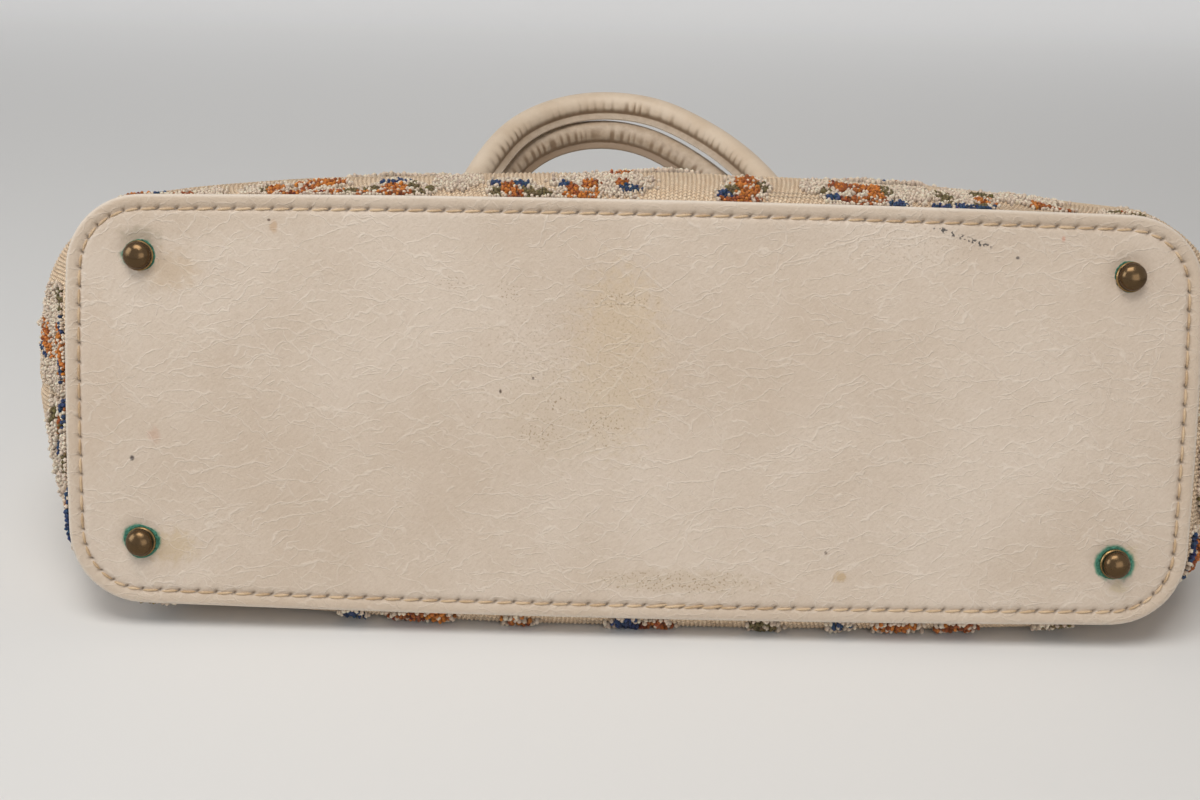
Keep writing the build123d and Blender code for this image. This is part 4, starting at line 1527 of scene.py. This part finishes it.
def make_tab(face, side_name):
    """A leather tab round its ring, sewn on three sides: the points and faces of its stitches."""
    outward_way = 1 if face == "front" else -1
    x = -ring_half_span if side_name == "left" else ring_half_span
    middle = place(x, mouth_rise + outward_way * pivot_offset, pivot_height)
    path = folded_path(middle, rise, facing, tab_length, tab_gap)
    points, quads, caps = strap(path, along, tab_width, tab_ply)
    name = f"tab_{face}_{side_name}"
    piece = make_piece(f"{name}_leather", points, [quads, caps], trim_hide)
    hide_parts(name)
    base = middle + outward_way * facing * tab_face_offset
    seam_half = tab_width / 2 - tab_seam_inset
    levels = np.arange(-tab_length + 1.6, -4.0, tab_stitch_pitch)[:, None]
    across = np.arange(-tab_width / 2 + 2.0, tab_width / 2 - 3.0, tab_stitch_pitch)[:, None]
    runs = [(base + along * offset + rise * levels, rise) for offset in (-seam_half, seam_half)]
    runs.append((base - rise * (tab_length - tab_seam_inset) + along * across, along))
    starts = np.concatenate([start for start, _ in runs])
    ends = np.concatenate([start + way * tab_stitch_length for start, way in runs])
    lift = np.broadcast_to(outward_way * facing, starts.shape)
    return stitches(starts, ends, lift, tab_thread_radius, tab_thread_crown)


tab_thread = [make_tab(face, side) for face in ("front", "back") for side in ("left", "right")]
thread_points = np.concatenate([p for p, _ in tab_thread])
thread_faces = np.concatenate([f + k * len(tab_thread[0][0]) for k, (_, f) in enumerate(tab_thread)])
make_piece("tab_stitching", thread_points, thread_faces, waxed_thread)

handle_rows = 700
smoothings = 30
crown_half_width = 15
handle_reach = 400


def handle_line(face):
    """The middle line of a handle's roll, from its packed core: pivot, way up, flat points and length."""
    joint = next(j for j in frame["joints"] if j["name"] == f"{face}_handle_swing")
    pivot = np.array(joint["pos_m"], float) / MM
    core = np.array([v.co for v in frame["nodes"][f"handle_{face}_core"].data.vertices]) / MM - pivot
    crown = core[np.abs(core[:, 0]) < crown_half_width].mean(0)
    way = unit(crown * (0, 1, 1))
    tree = solid_tree(f"handle_{face}_core")
    reach = core @ way
    foot = core[reach < reach.min() + 0.6]
    left, right = foot[foot[:, 0] < 0, 0].mean(), foot[foot[:, 0] > 0, 0].mean()
    line = [(left, reach.min())]
    for angle in np.radians(np.linspace(162, 18, 110)):
        ray = math.cos(angle) * along + math.sin(angle) * way
        inner = first_met(tree, pivot, ray, handle_reach)
        outer = first_met(tree, pivot + ray * handle_reach, -ray, handle_reach)
        if inner is not None and outer is not None:
            middle = (inner + outer) / 2 - pivot
            line.append((middle[0], middle @ way))
    line.append((right, reach.min()))
    flat = evenly(np.array(line), handle_rows)
    run = np.linalg.norm(np.diff(flat, axis=0), axis=1).sum()
    for _ in range(smoothings):
        flat[1:-1] = (flat[:-2] + 2 * flat[1:-1] + flat[2:]) / 4
    return pivot, way, flat, run


def roll_section():
    """The round of the roll, then its fin on the inner side; and which points lie on the round."""
    turns = np.radians(np.linspace(-171, 171, 45))
    section = [(roll_radius * math.cos(a), roll_radius * math.sin(a)) for a in turns]
    tip = -roll_radius - fin_height
    fin = [(-roll_radius - 0.35, fin_half_thickness), (tip + 0.45, fin_half_thickness * 0.9)]
    fin += [(tip + 0.1, fin_half_thickness * 0.55), (tip, 0.0)]
    section += fin + [(a, -b) for a, b in fin[-2::-1]]
    on_roll = np.concatenate([np.ones(len(turns)), np.zeros(len(section) - len(turns))])
    return np.array(section), on_roll


section, on_roll = roll_section()
section_angle = np.arctan2(section[:, 1], section[:, 0])
seen_side = section_angle > 0
gather_depth = 0.75
gather_angle = 2.35
gather_spread = 0.42
gather_shade = 1.25
neck_rows = 12
neck_half_thickness = 2.6
loop_reach = 11.0
loop_leg = 6.0
loop_gap = 1.8


def gathers(s, crown, seed):
    """How far the leather stands out or sinks in between its gathers, along and round the roll."""
    still = np.full(len(s), float(seed))
    uneven = 0.8 * ripple(s, still, 10.0, seed + 2)
    phase = s / gather_pitch + uneven + 0.9 * ripple(s, still, 27.0, seed + 3)
    strength = crown * np.clip(0.55 + 0.6 * ripple(s, still, 8.0, seed), 0.1, 1.1)
    near_side = (np.sin(np.pi * phase) ** 2 - 0.5) * strength
    far_side = (np.sin(np.pi * phase * 0.97 + 1.1) ** 2 - 0.5) * strength
    gathered = on_roll * bell(np.abs(section_angle) - gather_angle, gather_spread)
    gathered = gathered * np.where(seen_side, 1.0, 0.3)
    return np.where(seen_side[None], near_side[:, None], far_side[:, None]) * gathered[None]


def neck(pivot, way, side, x, inward, start_reach):
    """Rows from the roll's end, flattening down to the loop that holds its ring."""
    rows = []
    for share in np.linspace(0, 1, neck_rows)[1:]:
        thin = 1 - ease(share, 0, 1) * (1 - neck_half_thickness / roll_radius)
        fin_left = fin_height * (1 - ease(share, 0.0, 0.35))
        trimmed = np.maximum(section[:, 0], -roll_radius - fin_left)
        reach = start_reach + (loop_reach + 1.4 - start_reach) * share
        px = x + inward * trimmed
        rows.append(pivot + px[:, None] * along + reach * way + (section[:, 1] * thin)[:, None] * side)
    return np.array(rows)


def make_handle(face, seed, under_shade, shadow_level, fin_shade, fin_highlight):
    """A rolled handle with its sewn fin, and the loops at its ends round the rings."""
    pivot, way, flat, run = handle_line(face)
    body = f"{face}_handle"
    side = np.cross(along, way)
    ahead = unit(np.gradient(flat, axis=0))
    ahead[0], ahead[-1] = (0, 1), (0, -1)
    away = np.stack([-ahead[:, 1], ahead[:, 0]], 1)
    s = np.linspace(0, run, handle_rows)
    crown = ease(s / run, 0.12, 0.26) * (1 - ease(s / run, 0.74, 0.88))
    folds = gathers(s, crown, seed)
    s_grid, angle_grid = np.meshgrid(s, section_angle * 7, indexing="ij")
    lumpy = 0.14 * ripple(s_grid, angle_grid, 22, seed + 1) * on_roll
    swell = 1 + (gather_depth * folds + lumpy) / roll_radius
    tilt = (fin_tilt * ease(s / run, 0.0, 0.2) * (1 - ease(s / run, 0.8, 1.0)))[:, None]
    a = (section[None, :, 0] * np.cos(tilt) - section[None, :, 1] * np.sin(tilt)) * swell
    b = (section[None, :, 0] * np.sin(tilt) + section[None, :, 1] * np.cos(tilt)) * swell
    x, reach = flat[:, None, 0] + away[:, None, 0] * a, flat[:, None, 1] + away[:, None, 1] * a
    points = pivot + x[..., None] * along + reach[..., None] * way + b[..., None] * side
    left, right = (neck(pivot, way, side, flat[k, 0], away[k, 0], flat[0, 1]) for k in (0, -1))
    points = np.concatenate([left[::-1], points, right])
    columns = len(section)
    faces = grid_faces(len(points), columns, True)
    leather = make_piece(f"{face}_handle_leather", points, faces, trim_hide, body)
    outer_column = 18
    face_toward(leather, (len(points) // 2) * columns + outer_column, way)
    # Painted shade under the roll, on the fin and in the gathers' hollows, and a painted shadow over the whole
    # roll at shadow_level
    near_side_shade = 0.8 * ease(section_angle, 2.25, 2.95)
    far_side_shade = under_shade * ease(-section_angle, 1.9, 2.7)
    roll_shade = np.maximum(np.where(seen_side, near_side_shade, far_side_shade), shadow_level)
    roll_shade = roll_shade * on_roll + fin_shade * (1 - on_roll)
    painted_shade = np.clip(-folds * gather_shade, 0, 1) + crown[:, None] * roll_shade[None]
    plain = np.zeros((neck_rows - 1, columns))
    mark(leather, "fold_shade", np.concatenate([plain, painted_shade, plain]))
    # Painted highlight along the fin's edge, set by fin_highlight
    edge = np.clip((np.abs(section[:, 0]) - roll_radius - fin_height + 0.6) / 0.5, 0, 1) * (1 - on_roll)
    mark(leather, "welt_highlight", np.tile(fin_highlight * edge, len(points)))
    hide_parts(f"handle_{face}_roll")

    loops = []
    for x in (flat[0, 0], flat[-1, 0]):
        path = folded_path(pivot + x * along + loop_reach * way, -way, side, loop_leg, loop_gap)
        loops.append(strap(path, along, loop_width, loop_ply))
    loop_points = np.concatenate([p for p, _, _ in loops])
    quads = np.concatenate([q + k * len(loops[0][0]) for k, (_, q, _) in enumerate(loops)])
    caps = np.concatenate([c + k * len(loops[0][0]) for k, (_, _, c) in enumerate(loops)])
    make_piece(f"{face}_handle_loops", loop_points, [quads, caps], trim_hide, body)


make_handle("front", seed=5, under_shade=0.25, shadow_level=0.08, fin_shade=0.5, fin_highlight=1.0)
make_handle("back", seed=9, under_shade=0.7, shadow_level=0.42, fin_shade=0.85, fin_highlight=0.2)

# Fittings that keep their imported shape
node_finishes = {"base_board": pasteboard, "foot_washers": antique_brass, "tab_rivets": antique_brass}
for face in ("front", "back"):
    node_finishes[f"handle_{face}_core"] = cotton_cord
    for side in ("left", "right"):
        node_finishes[f"ring_{face}_{side}"] = antique_brass
for name, finish in node_finishes.items():
    mesh = frame["nodes"][name].data
    mesh.materials.clear()
    mesh.materials.append(finish)
    mesh.shade_smooth()


# Floor, light and camera

def seen_straight(tree):
    """1 on rays from the camera, in reflections and through glass, 0 on rays that light the bag."""
    paths = node(tree, "ShaderNodeLightPath").outputs
    seen = sums(tree, "MAXIMUM", paths["Is Camera Ray"], paths["Is Glossy Ray"])
    return sums(tree, "MAXIMUM", seen, paths["Is Transmission Ray"])


def floor_finish():
    """Pale floor that stays pale as it goes away from the lamps."""
    made, tree, shader = start_finish("pale_floor")
    away = parts_of(tree, own_place(tree))[1]
    pale = times(tree, fade(tree, away, 0.1, 2.2, 0.0, 0.42), seen_straight(tree))
    settle(tree, shader, {
        "Base Color": (0.70, 0.69, 0.67, 1),
        "Roughness": 0.75,
        "Emission Color": pale,
        "Emission Strength": 1.0,
    })
    return made


floor_front, floor_back = -3000.0, 1500.0
floor_half_width = 4000.0
sweep_radius = 800.0
backdrop_height = 3500.0


def make_floor():
    """A floor that sweeps up into a backdrop."""
    profile = [(floor_front, 0.0), (floor_back, 0.0)]
    for a in np.linspace(0, math.pi / 2, 12)[1:]:
        profile.append((floor_back + sweep_radius * math.sin(a), sweep_radius - sweep_radius * math.cos(a)))
    profile.append((floor_back + sweep_radius, backdrop_height))
    points = np.array([(x, y, z) for y, z in profile for x in (-floor_half_width, floor_half_width)])
    mesh = bpy.data.meshes.new("floor_sweep")
    mesh.from_pydata((points * MM).tolist(), [], grid_faces(len(profile), 2).tolist())
    mesh.shade_smooth()
    mesh.materials.append(floor_finish())
    floor = bpy.data.objects.new("floor_sweep", mesh)
    bpy.context.scene.collection.objects.link(floor)


make_floor()

lamp_target = (0, 0, 0.08)


def soft_lamp(name, spot, width, height, power, colour):
    lamp = bpy.data.lights.new(name, "AREA")
    lamp.shape = "RECTANGLE"
    lamp.size = width
    lamp.size_y = height
    lamp.energy = power
    lamp.color = colour
    holder = bpy.data.objects.new(name, lamp)
    holder.location = spot
    holder.rotation_mode = "QUATERNION"
    holder.rotation_quaternion = (Vector(lamp_target) - Vector(spot)).to_track_quat("-Z", "Y")
    bpy.context.scene.collection.objects.link(holder)


soft_lamp("window_left", (-1.25, -0.55, 0.75), 0.8, 0.8, 7, (0.90, 0.95, 1.0))
soft_lamp("overhead", (-0.15, -0.45, 1.35), 0.9, 0.7, 12, (1.0, 0.97, 0.93))
soft_lamp("front_fill", (0.6, -1.4, 0.5), 1.0, 0.8, 4.4, (1.0, 0.975, 0.95))

light_strength = 0.22
seen_strength = 0.58
world = bpy.data.worlds.new("studio")
bpy.context.scene.world = world
world.use_nodes = True
sky = world.node_tree
background = sky.nodes["Background"]
background.inputs["Color"].default_value = (0.95, 0.96, 1.0, 1)
brightness = sums(sky, "MULTIPLY_ADD", seen_straight(sky), seen_strength, light_strength)
sky.links.new(brightness, background.inputs["Strength"])

# The camera in the bag's own frame: where it stands, what it looks at, and how it is rolled, in degrees
eye_spot = place(-6.95, 45.28, -443.05)
eye_aim = place(-9.647, 3.483, 0.0)
eye_roll = math.radians(1.246)
eye = bpy.data.cameras.new("eye")
eye.lens = 42.0
eye.sensor_width = 36.0
eye.sensor_fit = "HORIZONTAL"
eye.clip_start = 0.01
eye.clip_end = 50.0
eye_holder = bpy.data.objects.new("eye", eye)
bpy.context.scene.collection.objects.link(eye_holder)
eye_back = unit(eye_spot - eye_aim)
level_right = unit(np.cross(facing, eye_back))
level_up = np.cross(eye_back, level_right)
eye_right = level_right * math.cos(eye_roll) + level_up * math.sin(eye_roll)
eye_up = np.cross(eye_back, eye_right)
turned = Matrix([list(row) for row in np.stack([eye_right, eye_up, eye_back], 1)]).to_4x4()
eye_holder.matrix_world = Matrix.Translation(Vector(eye_spot * MM)) @ turned
bpy.context.scene.camera = eye_holder
bpy.context.scene.view_settings.view_transform = "Standard"

bpy.context.view_layer.update()
